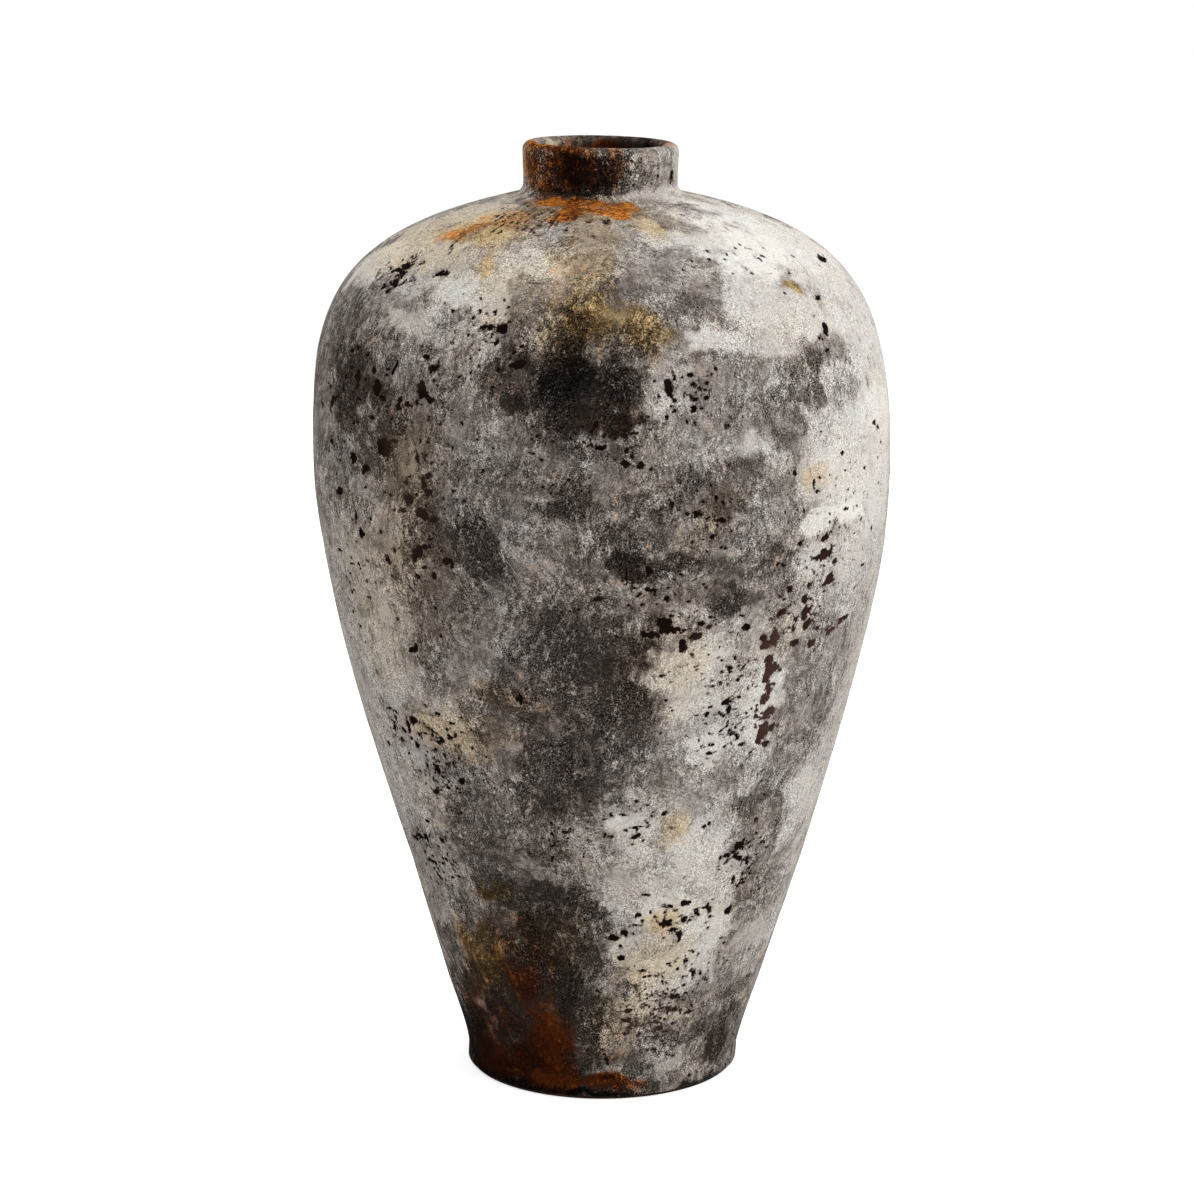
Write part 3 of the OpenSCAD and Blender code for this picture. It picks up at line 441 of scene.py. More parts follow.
# Chips through the mineral coat: azimuth, height, half width and half height in millimetres, lean
CHIPS = [
    # left shoulder
    (-41.5, 707, 6, 3, 5), (-56, 715, 4, 1.5, 0), (-55.5, 709, 8, 3.5, 0), (-57.5, 706, 5, 2, 0),
    (-54, 703, 5, 3, 0), (-54, 696, 6, 3, -20), (-57, 692, 5, 2, 0), (-55, 690, 4, 2, 0),
    (-64, 700, 3, 1.5, 0), (-61, 704, 3, 1, 0), (-50.5, 712, 2.5, 1, 0), (-48.5, 700, 3, 1.2, 0),
    (-22, 671, 10, 3, 0), (-19.8, 671, 4, 3.5, 0), (-21, 661, 3, 2.5, 0), (-26, 683, 2, 2, 0),
    (-22.5, 683, 1.5, 1.2, 0), (-26, 665, 2, 1.5, 0), (-16, 645, 6, 3, 5), (-15, 647, 3, 3, 0),
    (-17, 655, 2, 2, 0), (-15.5, 659, 1.5, 1.5, 0), (-19.7, 642, 2, 3, 0), (-22.5, 626, 2.5, 1.5, 0),
    (-20.8, 627, 6, 0.9, 0),
    # left flank
    (-57, 645, 3, 2, 0), (-59, 641, 3, 1.5, 0), (-55, 622, 4, 7, 0), (-60, 620, 3, 2, 0),
    (-48.5, 617, 6, 6, 0), (-46.5, 609, 4, 2, 0), (-50, 630, 2.5, 2, 0), (-46, 628, 3, 1.5, 0),
    (-43.8, 635, 1.6, 5, -20), (-41.5, 610, 5, 3, 0), (-42, 605, 4, 3, 0), (-39.5, 608, 4, 2.5, 0),
    (-36.4, 621, 4.5, 7, 10), (-34.4, 615, 6, 3, -35), (-33.8, 638, 5, 3, 20), (-33, 643, 2, 2, 0),
    (-36, 646, 3, 1.5, 0), (-33.5, 628, 2, 2, 0), (-32.5, 625, 2, 1.2, 0), (-43.5, 595, 1.6, 5, -20),
    (-65.5, 597, 4, 4, 0), (-67, 608, 3, 2, 0), (-66, 588, 2, 3, 0), (-60.5, 610, 2, 3, 0),
    (-62.5, 603, 2, 2, 0), (-71.5, 590, 4, 2, 0), (-49, 592, 4, 2, 0), (-45.8, 570, 8, 8, 0),
    (-43, 577, 4, 1.5, 0), (-55.5, 556, 5, 4.5, 0), (-51.5, 550, 7, 4, 15), (-65, 563, 3, 3, 0),
    (-61.5, 525, 6, 2.5, 15), (-54.2, 495, 3.5, 3.5, 0), (-55.5, 508, 1.5, 5, 0), (-36.9, 566, 1.8, 5, 15),
    (-33.5, 564, 3, 1.5, 30), (-34.3, 553, 5, 2, 10), (-35.5, 547, 2.5, 6, 0), (-34.5, 539, 5, 3, -20),
    (-39.3, 532, 5, 4.5, -20), (-36, 521, 8, 4.5, -8), (-33.4, 518, 5, 3, 0), (-41, 522, 5, 1.5, 0),
    (-37.5, 536, 2, 1.2, 0), (-38, 489, 7, 4, 25), (-39, 483, 3, 3, 0), (-36, 494, 5, 2.2, 15),
    (-31.2, 485, 4.5, 4, 0), (-30, 483, 2, 5, 0), (-44, 488, 2, 3.5, -20), (-46.5, 478, 4, 1.8, -45),
    (-45, 464, 4, 1.5, -10), (-53.3, 472, 2, 1.5, 0), (-59.5, 470, 3, 1.5, 0), (-60, 465, 2, 1.2, 0),
    (-65.5, 472, 3, 1.5, 0), (-38.5, 468, 3, 2, 0), (-34.5, 471, 2, 3, 0), (-36.5, 477, 3, 1.5, 0),
    (-54.8, 440, 3, 1.5, 20), (-62, 440, 4, 1.2, 35), (-65, 430, 3, 1.2, 0), (-43, 403, 5, 2, 10),
    (-42, 407, 2, 2, 0), (-34.8, 420, 1.6, 2, 0), (-61.5, 410, 2, 1.5, 0), (-26.5, 536, 3, 2.5, 20),
    (-22.5, 561, 2, 1.5, 0), (-17.8, 373, 3, 3.5, 0), (-27, 370, 2, 1.5, 0),
    # lower left
    (-56.5, 342, 4, 1.5, 0), (-54.3, 341, 4, 1.5, 0), (-47.8, 338, 4, 3.2, 25), (-50, 333, 2, 5, 0),
    (-46.8, 327, 3, 3, 0), (-56, 331, 5, 2, 0), (-52.5, 326, 4, 1.5, -20), (-50.5, 320, 3, 2, 0),
    (-48.3, 316, 3.5, 3, -20), (-54, 315, 4, 1.5, 0), (-39.5, 327, 3, 3.5, -20), (-42.3, 329, 2, 2.5, 0),
    (-41, 347, 3, 1.2, 0), (-38.7, 350, 3, 1.5, 0), (-38, 307, 6, 1.4, 8), (-35.4, 312, 1.4, 4, 0),
    (-43, 297, 3, 5, 15), (-41, 292, 4, 1.5, 20), (-46.6, 298, 2, 4, 0), (-51.5, 290, 3, 1.5, 15),
    (-41, 283, 5, 2, 0), (-46, 275, 4, 3, 0), (-60, 224, 8, 3, 0), (-57, 226, 5, 4, 0),
    (-64.5, 219, 5, 1.8, 0), (-53.3, 243, 3, 1.5, 0), (-60.5, 230, 3, 2, 0), (-45.5, 198, 4, 1.2, 0),
    (-59, 203, 5, 2, 0), (-56, 190, 4, 2, -20), (-42, 261, 4, 1.5, 0),
    # middle
    (-0.3, 583, 4.5, 2, 5), (4.3, 570, 3.5, 2.5, 0), (4.5, 581, 2, 2, 0), (7.2, 569, 3.5, 3, -20),
    (5.5, 576, 1.5, 3, 0), (9.2, 565, 3, 1, 0), (0.5, 592, 2, 2, 0), (2.5, 591, 1.5, 1.2, 0),
    (6.7, 601, 2.5, 1.5, 0), (10.3, 601, 2, 1.5, 0), (13.2, 630, 4, 5.5, 0), (14.2, 639, 1.2, 4, 10),
    (13.4, 624, 2, 4, 0), (17.3, 637, 3.5, 1.5, 0), (18.3, 630, 4, 2, -15), (18, 618, 3.5, 1.5, 0),
    (17.7, 611, 3, 2, 0), (22, 637, 3, 2, 0), (20.5, 619, 2, 1.5, 0), (14.2, 610, 1.3, 2, 0),
    (11.2, 622, 1.5, 1.5, 0), (24.4, 596, 2.5, 1.3, 0), (18.3, 529, 5, 2, 10), (17.4, 516, 1.5, 1.5, 0),
    (22.5, 522, 4, 2.5, 0), (21, 509, 2, 1.5, 0), (18.6, 507, 2, 1.2, 0), (8.6, 484, 2.5, 4, 0),
    (9, 468, 6, 1.8, -8), (12, 460, 3.5, 3.5, 0), (16.3, 457, 2, 1.2, 0), (-1.3, 461, 3.5, 2.6, 30),
    (-1.1, 468, 1.5, 2, 0), (-4.9, 452, 1.5, 1.5, 0), (11.9, 437, 6, 6.5, 0), (10.6, 440, 3, 4, 0),
    (14.3, 433, 6, 2.6, -10), (9.5, 430, 4, 2.6, 0), (7.7, 431, 2.5, 2.5, 0), (15, 444, 2, 1.2, 0),
    (13, 446, 2, 1.2, 0), (18, 426, 8, 3.4, 18), (15.7, 420, 3.6, 6, 0), (19.2, 437, 3, 3, 0),
    (20.7, 434, 3, 1.8, 20), (17.8, 411, 1.8, 2, 0), (2.4, 429, 4, 0.9, -15), (11.6, 395, 3.2, 1.4, 0),
    (26.5, 396, 2, 2, 0), (29, 395, 2.6, 2.6, 0), (28.8, 386, 2, 2, 0), (26.9, 367, 5.5, 3.6, 0),
    (27.3, 362, 2, 5, 0), (29.2, 370, 3, 1.4, 0), (23, 364, 2, 1.4, 0),
    # right flank
    (53.6, 661, 4.6, 5, 0), (51, 656, 3, 3, 0), (51.2, 672, 1.6, 1, 0), (55.5, 684, 4, 1.2, 0),
    (52, 645, 4, 1.2, 0), (74, 708, 10, 3, 0), (52.8, 562, 3, 1.8, 0), (46.2, 583, 2, 1.4, 0),
    (52, 574, 3, 1, 0), (67, 577, 4, 2.4, 0), (69, 573, 3, 1.6, 0), (71, 559, 3, 1.2, 0),
    (39, 553, 2.2, 2, 0), (44, 542, 1.8, 3.4, 0), (45.4, 546, 3, 1, 0), (45.4, 535, 3, 1.2, 0),
    (53.8, 515, 2.6, 1.4, 0), (61.4, 544, 2, 1.2, 0), (40.5, 494, 3, 2, 0), (37.8, 514, 2.5, 1.4, 0),
    (48, 495, 5, 3, 20), (49.5, 499, 3, 1.4, 0), (47.8, 481, 7, 5, 0), (50, 483, 2.2, 4, 0),
    (45, 480, 4, 1.8, 10), (51.4, 472, 3, 2.4, 0), (47.6, 472, 3, 1.6, 0), (50.4, 459, 5.5, 5, 0),
    (48.6, 455, 4, 2, 20), (52, 453, 2.4, 1.4, 0), (44.4, 458, 4, 3.6, 0), (43.4, 446, 4, 4, 0),
    (44.4, 446, 3, 2, 0), (44, 433, 4.6, 5, -20), (45.6, 426, 3.4, 3.4, 0), (39, 457, 4, 2.2, -30),
    (36.6, 437, 3, 2, 0), (38.4, 438, 3.4, 2.4, 0), (41.4, 431, 3, 2, 0), (41.4, 422, 2.6, 2.4, 0),
    (42, 410, 5, 3, 0), (48.6, 418, 3, 2, 0), (52.6, 415, 5, 2.4, 15), (57, 419, 7, 1.6, 12),
    (47.6, 406, 5, 3, 0), (29.1, 430, 4, 3.5, 0), (27.5, 441, 2, 1.2, 0), (33.6, 418.6, 4.5, 4, 0),
    (34.5, 412.6, 5.5, 4, 0), (36.4, 417, 5, 6.5, 0), (35.9, 399.5, 4, 4, 0), (36.4, 391, 5.5, 7, 0),
    (37.7, 391, 5, 4.5, -30), (35.9, 383, 4, 4.5, 0), (37, 373, 3, 5.5, 20), (36.3, 364, 3.5, 4.5, 10),
    (38.6, 353, 6, 4.5, 0), (37.3, 347, 5.5, 3.5, 0), (37.7, 337.6, 5.5, 7.5, 0), (40, 337.6, 5.5, 3.5, 0),
    (37, 328, 4, 4.5, 0), (39.1, 323, 3.5, 3, 0), (63.4, 461, 3, 1.2, 0), (30.4, 334, 2.4, 2.8, 0),
    (32, 327, 3, 1.4, 0), (31.4, 340, 2, 1.2, 0), (28.6, 337, 2, 1.2, 0), (24.4, 330, 2, 1.2, 0),
    (57.7, 418, 8, 1.8, 10), (54.5, 412.6, 10, 2.5, 12), (47.2, 405.5, 4, 3, 0), (49.7, 481, 3, 5, 0),
    (46.2, 480, 3.5, 3, 0), (45, 423, 4, 4, -40), (37.5, 437.6, 6, 3, 0), (-47, 727, 0.8, 4, 25),
    (-45.2, 722.5, 3.4, 0.6, -35),
    # lower right
    (14.4, 271, 2.4, 2, 0), (4, 272, 4, 1.2, 0), (7.4, 252, 4.6, 1.8, 0), (10.6, 261, 2.6, 1.2, 15),
    (7.2, 260, 3.6, 0.9, 0), (0.4, 252, 5, 1, 0), (0.2, 268, 2.6, 1, 0), (22.6, 185, 4, 3.4, 0),
    (17.6, 184, 4, 1.2, 0), (18, 168, 6, 3.6, 0), (20.4, 161, 5, 2, 0), (22.4, 156, 3, 4, 0),
    (23.4, 170, 3, 3, 0), (29, 178, 6, 1.2, 0), (27.4, 173, 2, 3, 0), (32.2, 169, 4, 1.2, -15),
    (38.4, 171, 4, 4, 20), (2, 157, 6, 2.6, 0), (5, 161, 3.4, 2, 20), (8.6, 168, 4, 1.2, 0),
    (10.6, 197, 3, 1.2, 0), (16, 194, 2, 1, 0), (37.4, 232, 5, 4, 0), (36.4, 222, 7, 2.6, -10),
    (38, 220, 4, 2.6, 0), (41.4, 217, 5, 2, 0), (34, 225, 4, 2, 0), (41, 195, 4, 2, 0),
    (37.6, 200, 2, 4, 0), (42, 234, 2, 1.4, 0), (25, 95, 4, 2, 0), (26, 82, 6, 2.4, 0), (23, 85, 4, 1.4, 0),
    (32.6, 77, 4, 1.4, 0), (23, 62, 4, 1.6, -10), (26.6, 69, 3, 1.6, 0), (21, 66, 3, 1.8, 0),
    (7.4, 63, 5, 1.4, 0), (8, 76, 5, 2, 0), (17.6, 84, 4, 1.6, 0), (9, 86, 4, 1.4, 0),
    (26.8, 37, 2.4, 1, 0), (29, 36, 2, 1, 0), (19, 45, 5, 1.4, 0), (30.4, 115, 2, 4, 0),
    (38.6, 12, 3, 2, 20), (1, 38, 1.4, 6, 20), (5, 137, 3, 3, 0), (12, 124, 3, 1.4, 0),
    (15.4, 118, 5, 1.4, 0),
    # neck
    (66, 775, 2.6, 5, 0), (65, 769, 3.6, 2, 0), (25, 768, 1.6, 1.6, 0), (47, 775, 1, 1, 0),
]
# Small chips scattered by chance: azimuth, height, half width in degrees, half height, count, size in mm
SPRINKLES = [
    (-36, 560, 13, 80, 130, 1.3), (-45, 325, 15, 34, 90, 1.5), (-43, 285, 12, 26, 60, 1.4),
    (46, 450, 13, 66, 90, 1.3), (24, 385, 13, 44, 110, 1.1), (30, 340, 9, 26, 60, 1.3),
    (8, 265, 12, 22, 26, 1.2), (22, 170, 15, 20, 40, 1.5), (15, 78, 17, 36, 330, 0.9),
    (40, 220, 12, 34, 80, 1.6), (-58, 702, 9, 12, 40, 1.2), (-25, 672, 10, 30, 50, 1.1),
    (0, 598, 13, 20, 70, 1.3), (12, 470, 14, 34, 80, 1.3), (20, 525, 8, 22, 50, 1.3),
    (19, 622, 7, 18, 50, 1.3), (55, 520, 16, 46, 80, 0.9), (-60, 480, 15, 90, 80, 1.3),
    (-56, 610, 14, 40, 80, 1.5), (-30, 745, 24, 10, 60, 1.1), (40, 715, 30, 20, 40, 1.0),
    (30, 120, 20, 30, 60, 1.3), (-10, 560, 12, 30, 40, 1.1), (30, 785, 40, 16, 22, 0.8),
    (-55, 205, 12, 30, 50, 1.6), (37, 380, 5, 70, 26, 1.6), (-10, 250, 10, 20, 40, 1.2),
]

# The azimuth at which the far side starts on either side, and how much wear it has by chance: patches,
# groups of chips and lone chips
FAR_SIDE_FROM = 84
FAR_PATCHES, FAR_GROUPS, FAR_CHIPS = 70, 16, 120

# How far chips lean either way at most, in degrees: in a group, and by themselves
GROUP_LEAN, LONE_LEAN = 30, 40

# Grid of the coat: sectors around, strips in each, strips to one coarser strip at its back, and rows along
# the outline
SECTORS, STRIPS, BACK_STEP, ROWS = 8, 136, 17, 640
AROUND = SECTORS * STRIPS


# How much closer the rows lie past the neck, and how far before the lip's top that starts and is full
CLOSER, CLOSER_FROM, CLOSER_FULL = 0.6, 75 * MM, 45 * MM


def row_lengths():
    """Lengths along the outline at which the rows lie, closer together at the neck, lip and mouth."""
    weight = 1 + CLOSER * smooth(TOP_LENGTH - CLOSER_FROM, TOP_LENGTH - CLOSER_FULL, LENGTH)
    count = np.concatenate([[0], np.cumsum(np.diff(LENGTH) * (weight[1:] + weight[:-1]) / 2)])
    return np.interp(np.linspace(0, count[-1], ROWS + 1), count, LENGTH)


# How far past a chip its distance is worked out, in millimetres
CHIP_REACH = 8


def chip_field(azimuth, height, radius, ragged, chips):
    """Distance in millimetres to the edge of the nearest chip, below zero inside it: each chip is an
    oval, worked out only on the part of the grid around it, and the noise makes its edge ragged."""
    field = np.full((len(height), len(azimuth)), CHIP_REACH, np.float32)
    for a, h, w, v, lean in chips:
        rows = np.flatnonzero(np.abs(height - h) < w + v + CHIP_REACH)
        if not len(rows):
            continue
        r = slice(rows[0], rows[-1] + 1)
        mm_per_degree = radius[r].max() / MM * math.pi / 180
        cols = np.flatnonzero(np.abs(apart(azimuth, a)) < (w + v + CHIP_REACH) / mm_per_degree)
        across = apart(azimuth[cols], a)[None, :] * (radius[r] / MM * math.pi / 180)[:, None]
        u, t = leaned(across, (height[r] - h)[:, None], lean)
        reach = np.hypot(u / w, t / v)
        window = np.ix_(np.arange(r.start, r.stop), cols)
        distance = (reach - 1) * min(w, v) * (1 + 0.25 * reach)
        distance = distance + ragged[window] * min(1.0, min(w, v) / 2.5)
        field[window] = np.minimum(field[window], distance)
    return field


def cluster(a, h, spots, sizes, leans):
    """Chips around a place, each at its own spot, size and lean."""
    return [(a + p[0], h + p[1], s[0], s[1], t) for p, s, t in zip(spots, sizes, leans)]


def scattered_chips(rng):
    """Chips placed by chance: small ones in each sprinkle, and groups and lone ones on the far side."""
    chips = []
    for a, h, w, v, count, size in SPRINKLES:
        spots = rng.normal(0, 0.5, (count, 2)) * (w, v)
        sizes = size * rng.lognormal(0, 0.4, (count, 2)) * (0.95, 0.7)
        chips += cluster(a, h, spots, sizes, rng.uniform(-GROUP_LEAN, GROUP_LEAN, count))
    for _ in range(FAR_GROUPS):
        a, h = rng.uniform(FAR_SIDE_FROM, 360 - FAR_SIDE_FROM), rng.uniform(60, 700)
        count = rng.integers(20, 60)
        spots = rng.normal(0, 1, (count, 2)) * (5, 22)
        sizes = rng.lognormal(0.45, 0.5, (count, 2)) * (1.1, 0.9)
        chips += cluster(a, h, spots, sizes, rng.uniform(-GROUP_LEAN, GROUP_LEAN, count))
    for _ in range(FAR_CHIPS):
        a, h = rng.uniform(FAR_SIDE_FROM, 360 - FAR_SIDE_FROM), rng.uniform(40, 720)
        w, v = rng.lognormal(1.0, 0.4), rng.lognormal(0.8, 0.4)
        chips.append((a, h, w, v, rng.uniform(-LONE_LEAN, LONE_LEAN)))
    return chips


def far_washes(rng):
    """Washes and patches of the far side, by chance, in the same sizes and tones as the near side's."""
    rows = [(110, 500, 34, 300, 0, 0.66, 0.8), (180, 400, 40, 260, 0, 0.46, 0.8),
            (-115, 450, 34, 300, 0, 0.55, 0.8), (180, 728, 90, 34, 0, 0.72, 0.8),
            (170, 50, 90, 60, 0, 0.32, 0.8)]
    for _ in range(FAR_PATCHES):
        a, h = rng.uniform(FAR_SIDE_FROM, 360 - FAR_SIDE_FROM), rng.uniform(20, 740)
        rows.append((a, h, rng.uniform(6, 15), rng.uniform(14, 50), rng.uniform(-20, 20),
                     rng.choice([0.2, 0.32, 0.45, 0.6, 0.75, 0.88]), rng.uniform(0.5, 0.85)))
    return rows


# Angle from the brush's skips in one row to those in the next, how much they weigh in a patch and in a
# stain, and the least mask that they change
SKIP_TURN, PATCH_SKIP, STAIN_SKIP, MASK_LEAST = 2.4, 0.36, 0.25, 0.003


def skips(k, breakup):
    """How the brush skips over a rough wall in the k-th row: two noises, blended at the row's own angle."""
    turn = k * SKIP_TURN
    return math.cos(turn) * breakup[0] + math.sin(turn) * breakup[1]


def paint(places, rows, breakup):
    """The tone of the wall, from a middle grey painted over by each patch in turn. Noise breaks up
    each patch's edge, in its own way."""
    tone = np.full(places[0].shape, 0.5, np.float32)
    for k, (a, h, w, v, lean, value, strength) in enumerate(rows):
        mask = blob(places, a, h, w, v, lean)
        mask = mask + PATCH_SKIP * skips(k, breakup) * (mask > MASK_LEAST)
        tone = tone + strength * smooth(0.05, 0.95, mask) * (value - tone)
    return tone


def stain(places, rows, breakup=(0, 0)):
    """How much of a stain shows, each patch covering what is left."""
    clear = np.ones(places[0].shape, np.float32)
    for k, (a, h, w, v, lean, strength) in enumerate(rows):
        mask = blob(places, a, h, w, v, lean)
        mask = np.clip(mask + STAIN_SKIP * skips(k, breakup) * (mask > MASK_LEAST), 0, 1)
        clear = clear * (1 - strength * mask)
    return 1 - clear


def as_share(x):
    """A value from -1 to 1 taken to 0 to 1, and held there."""
    return 0.5 + 0.5 * np.clip(x, -1, 1)


def sunk(place, normal, depth, turn):
    """Points of the built wall at a depth below stations of the outline, at each azimuth."""
    return stray(turned(place[:, :1] - depth * normal[:, :1], place[:, 1:] - depth * normal[:, 1:], turn))


def coat_fields():
    """The whole coat on its grid: points, normals and painted values, before it is cut into sectors."""
    length = row_lengths()
    place, normal = stations(length)
    azimuth = np.arange(AROUND) * 360 / AROUND - 180
    height = np.where(length <= TOP_LENGTH, place[:, 1], JAR_H + (length - TOP_LENGTH)) / MM
    turn = np.radians(azimuth)[None, :]
    surface = turned(place[:, :1], place[:, 1:], turn)
    places = wandering(surface, azimuth[None, :], height[:, None])
    rng = np.random.default_rng(23)
    breakup = [cloud(surface, 24 * MM, 5, seed, 0.8) for seed in (31.0, 33.0)]
    tone = paint(places, far_washes(rng) + WASHES + PATCHES + MOUTH, breakup)
    ochre = stain(places, OCHRE + FAR_OCHRE, breakup)
    rust = stain(places, RUST + FAR_RUST, breakup)
    ragged = 1.5 * cloud(surface, 6.5 * MM, 3, 5.0, 0.75)
    chips = chip_field(azimuth, height, place[:, 0], ragged, CHIPS + scattered_chips(rng))
    uneven = as_share(1.3 * cloud(surface, 90 * MM, 3, 7.0, 0.5))
    rings = as_share(cloud(surface * (0.25, 0.25, 1), 22 * MM, 2, 9.0, 0.5))
    dabs = as_share(cloud(surface, 11 * MM, 3, 8.0, 0.65))
    hollow = 1 - smooth(-0.7, 0.45, chips)
    depth = (LEAST_D + UNEVEN_D * uneven + RING_D * rings + DAB_D * dabs + CHIP_D * hollow) * MM
    points, inner = (sunk(place, normal, d, turn) for d in (depth, COAT_T))
    along = np.gradient(points, axis=0)
    wrapped = np.concatenate([points[:, -1:], points, points[:, :1]], 1)
    across = (wrapped[:, 2:] - wrapped[:, :-2]) / 2
    facing = np.cross(across, along)
    facing /= np.linalg.norm(facing, axis=-1, keepdims=True)
    pitted = [(a, h, 1.2 * w, 1.2 * v, 0, min(0.9, 3 * c / (w * v))) for a, h, w, v, c, _ in SPRINKLES]
    return points, inner, facing, {"tone": tone, "ochre": ochre, "rust": rust, "chip": chips,
                                   "pitting": stain(places, pitted), "earthy": stain(places, EARTHY, breakup),
                                   "crisp": paint(places, CRISP, breakup)}


def mesh_piece(name, points, quads, triangles, node, finish):
    """One piece of the jar from its points and faces: the faces are written whole, four corners first,
    then three. Returns the object, which rides on the jar and stands for its CAD node."""
    mesh = bpy.data.meshes.new(name)
    loops = np.concatenate([np.asarray(quads).ravel(), np.asarray(triangles).ravel()]).astype(np.int32)
    starts = np.concatenate([np.arange(len(quads)) * 4, len(quads) * 4 + np.arange(len(triangles)) * 3])
    mesh.vertices.add(len(points))
    mesh.vertices.foreach_set("co", np.ascontiguousarray(points, np.float32).ravel())
    mesh.loops.add(len(loops))
    mesh.loops.foreach_set("vertex_index", loops)
    mesh.polygons.add(len(starts))
    mesh.polygons.foreach_set("loop_start", starts.astype(np.int32))
    mesh.polygons.foreach_set("use_smooth", np.ones(len(starts), bool))
    mesh.update(calc_edges=True)
    mesh.materials.append(finish)
    piece = placed(name, mesh)
    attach(piece, "root")
    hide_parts(node)
    return piece


def sector_faces():
    """Corners of the faces of one sector of the coat: its outside, its coarser back, its two sides,
    and the strips that close it along the foot and in the mouth. Quads first, then triangles."""
    rows, cols, backs = ROWS + 1, STRIPS + 1, STRIPS // BACK_STEP + 1
    out = np.arange(rows * cols).reshape(rows, cols)
    inn = out.size + np.arange(rows * backs).reshape(rows, backs)
    front = np.stack([out[:-1, :-1], out[:-1, 1:], out[1:, 1:], out[1:, :-1]], -1).reshape(-1, 4)
    back = np.stack([inn[:-1, :-1], inn[1:, :-1], inn[1:, 1:], inn[:-1, 1:]], -1).reshape(-1, 4)
    left = np.stack([out[:-1, 0], out[1:, 0], inn[1:, 0], inn[:-1, 0]], -1)
    right = np.stack([out[1:, -1], out[:-1, -1], inn[:-1, -1], inn[1:, -1]], -1)
    strip = np.arange(STRIPS)
    near = ((strip + 0.5) / BACK_STEP + 0.5).astype(int)
    step = np.arange(backs - 1)
    middle = BACK_STEP * step + (BACK_STEP + 1) // 2 - 1
    ends = []
    for r, flip in ((0, True), (ROWS, False)):
        a = np.stack([out[r, strip], out[r, strip + 1], inn[r, near]], -1)
        b = np.stack([inn[r, step + 1], inn[r, step], out[r, middle]], -1)
        both = np.concatenate([a, b])
        ends.append(both[:, ::-1] if flip else both)
    return (front, back, left, right), np.concatenate(ends)


# The flat map: its margin and what is left between the margins, the width of a band and the step to the
# next; then where the back, the two sides and the ends start in the strip at the right, and their widths
MAP_EDGE, MAP_SPAN, BAND_W, BAND_STEP = 0.01, 0.98, 0.46, 0.485
BACK_U, SIDES_U, ENDS_U = 0.975, (0.9885, 0.992), 0.9965
BACK_W, SIDE_W, ENDS_W, END_STEPS = 0.012, 0.0025, 0.0015, (0, 0.002, 0.001)


def sector_map(parts, ends):
    """Places on the flat map for the corners of a sector: the outside in two half-height bands side
    by side, and the back, sides and ends in a narrow strip at the right."""
    front = parts[0]
    row, col = np.divmod(front, STRIPS + 1)
    band = (np.arange(len(front)) // STRIPS >= ROWS // 2).astype(float)[:, None]
    u = MAP_EDGE + BAND_STEP * band + BAND_W * col / STRIPS
    flat = [(u, (row - band * (ROWS // 2)) / (ROWS // 2))]
    backs = STRIPS // BACK_STEP + 1
    row, col = np.divmod(parts[1] - front.max() - 1, backs)
    flat.append((BACK_U + BACK_W * col / (backs - 1), row / ROWS))
    for start in SIDES_U:
        row = np.arange(ROWS)[:, None] + np.array([0, 1, 1, 0])
        flat.append((start + SIDE_W * np.array([0, 0, 1, 1]) + 0 * row, row / ROWS))
    row = np.arange(len(ends))[:, None] / len(ends) + np.array(END_STEPS) / MAP_SPAN
    flat.append((ENDS_U + ENDS_W * np.array([0, 0, 1]) + 0 * row, row))
    return np.concatenate([np.stack([u, MAP_EDGE + MAP_SPAN * v], -1).reshape(-1, 2) for u, v in flat])


def build_coat(finish):
    """The mineral coat as eight closed sectors, side by side, with what is painted on it as values."""
    points, inner, facing, fields = coat_fields()
    parts, ends = sector_faces()
    quads, places = np.concatenate(parts), sector_map(parts, ends)
    for k in range(SECTORS):
        cols = (np.arange(STRIPS + 1) + k * STRIPS) % AROUND
        backs = cols[::BACK_STEP]
        both = np.concatenate([points[:, cols].reshape(-1, 3), inner[:, backs].reshape(-1, 3)])
        name = "mineral_coat_" + "abcdefgh"[k]
        piece = mesh_piece(name, both, quads, ends, "mineral_coat", finish)
        mesh = piece.data
        for key, field in fields.items():
            values = np.concatenate([field[:, cols].ravel(), field[:, backs].ravel()]).astype(np.float32)
            mesh.attributes.new(key, "FLOAT", "POINT").data.foreach_set("value", values)
        mesh.uv_layers.new(name="OFBake").data.foreach_set("uv", places.astype(np.float32).ravel())
        normals = np.concatenate([facing[:, cols].reshape(-1, 3), -facing[:, backs].reshape(-1, 3)])
        mesh.normals_split_custom_set_from_vertices(normals)


# Least angle between faces that shows as a sharp edge
SHARP_FROM = math.radians(35)


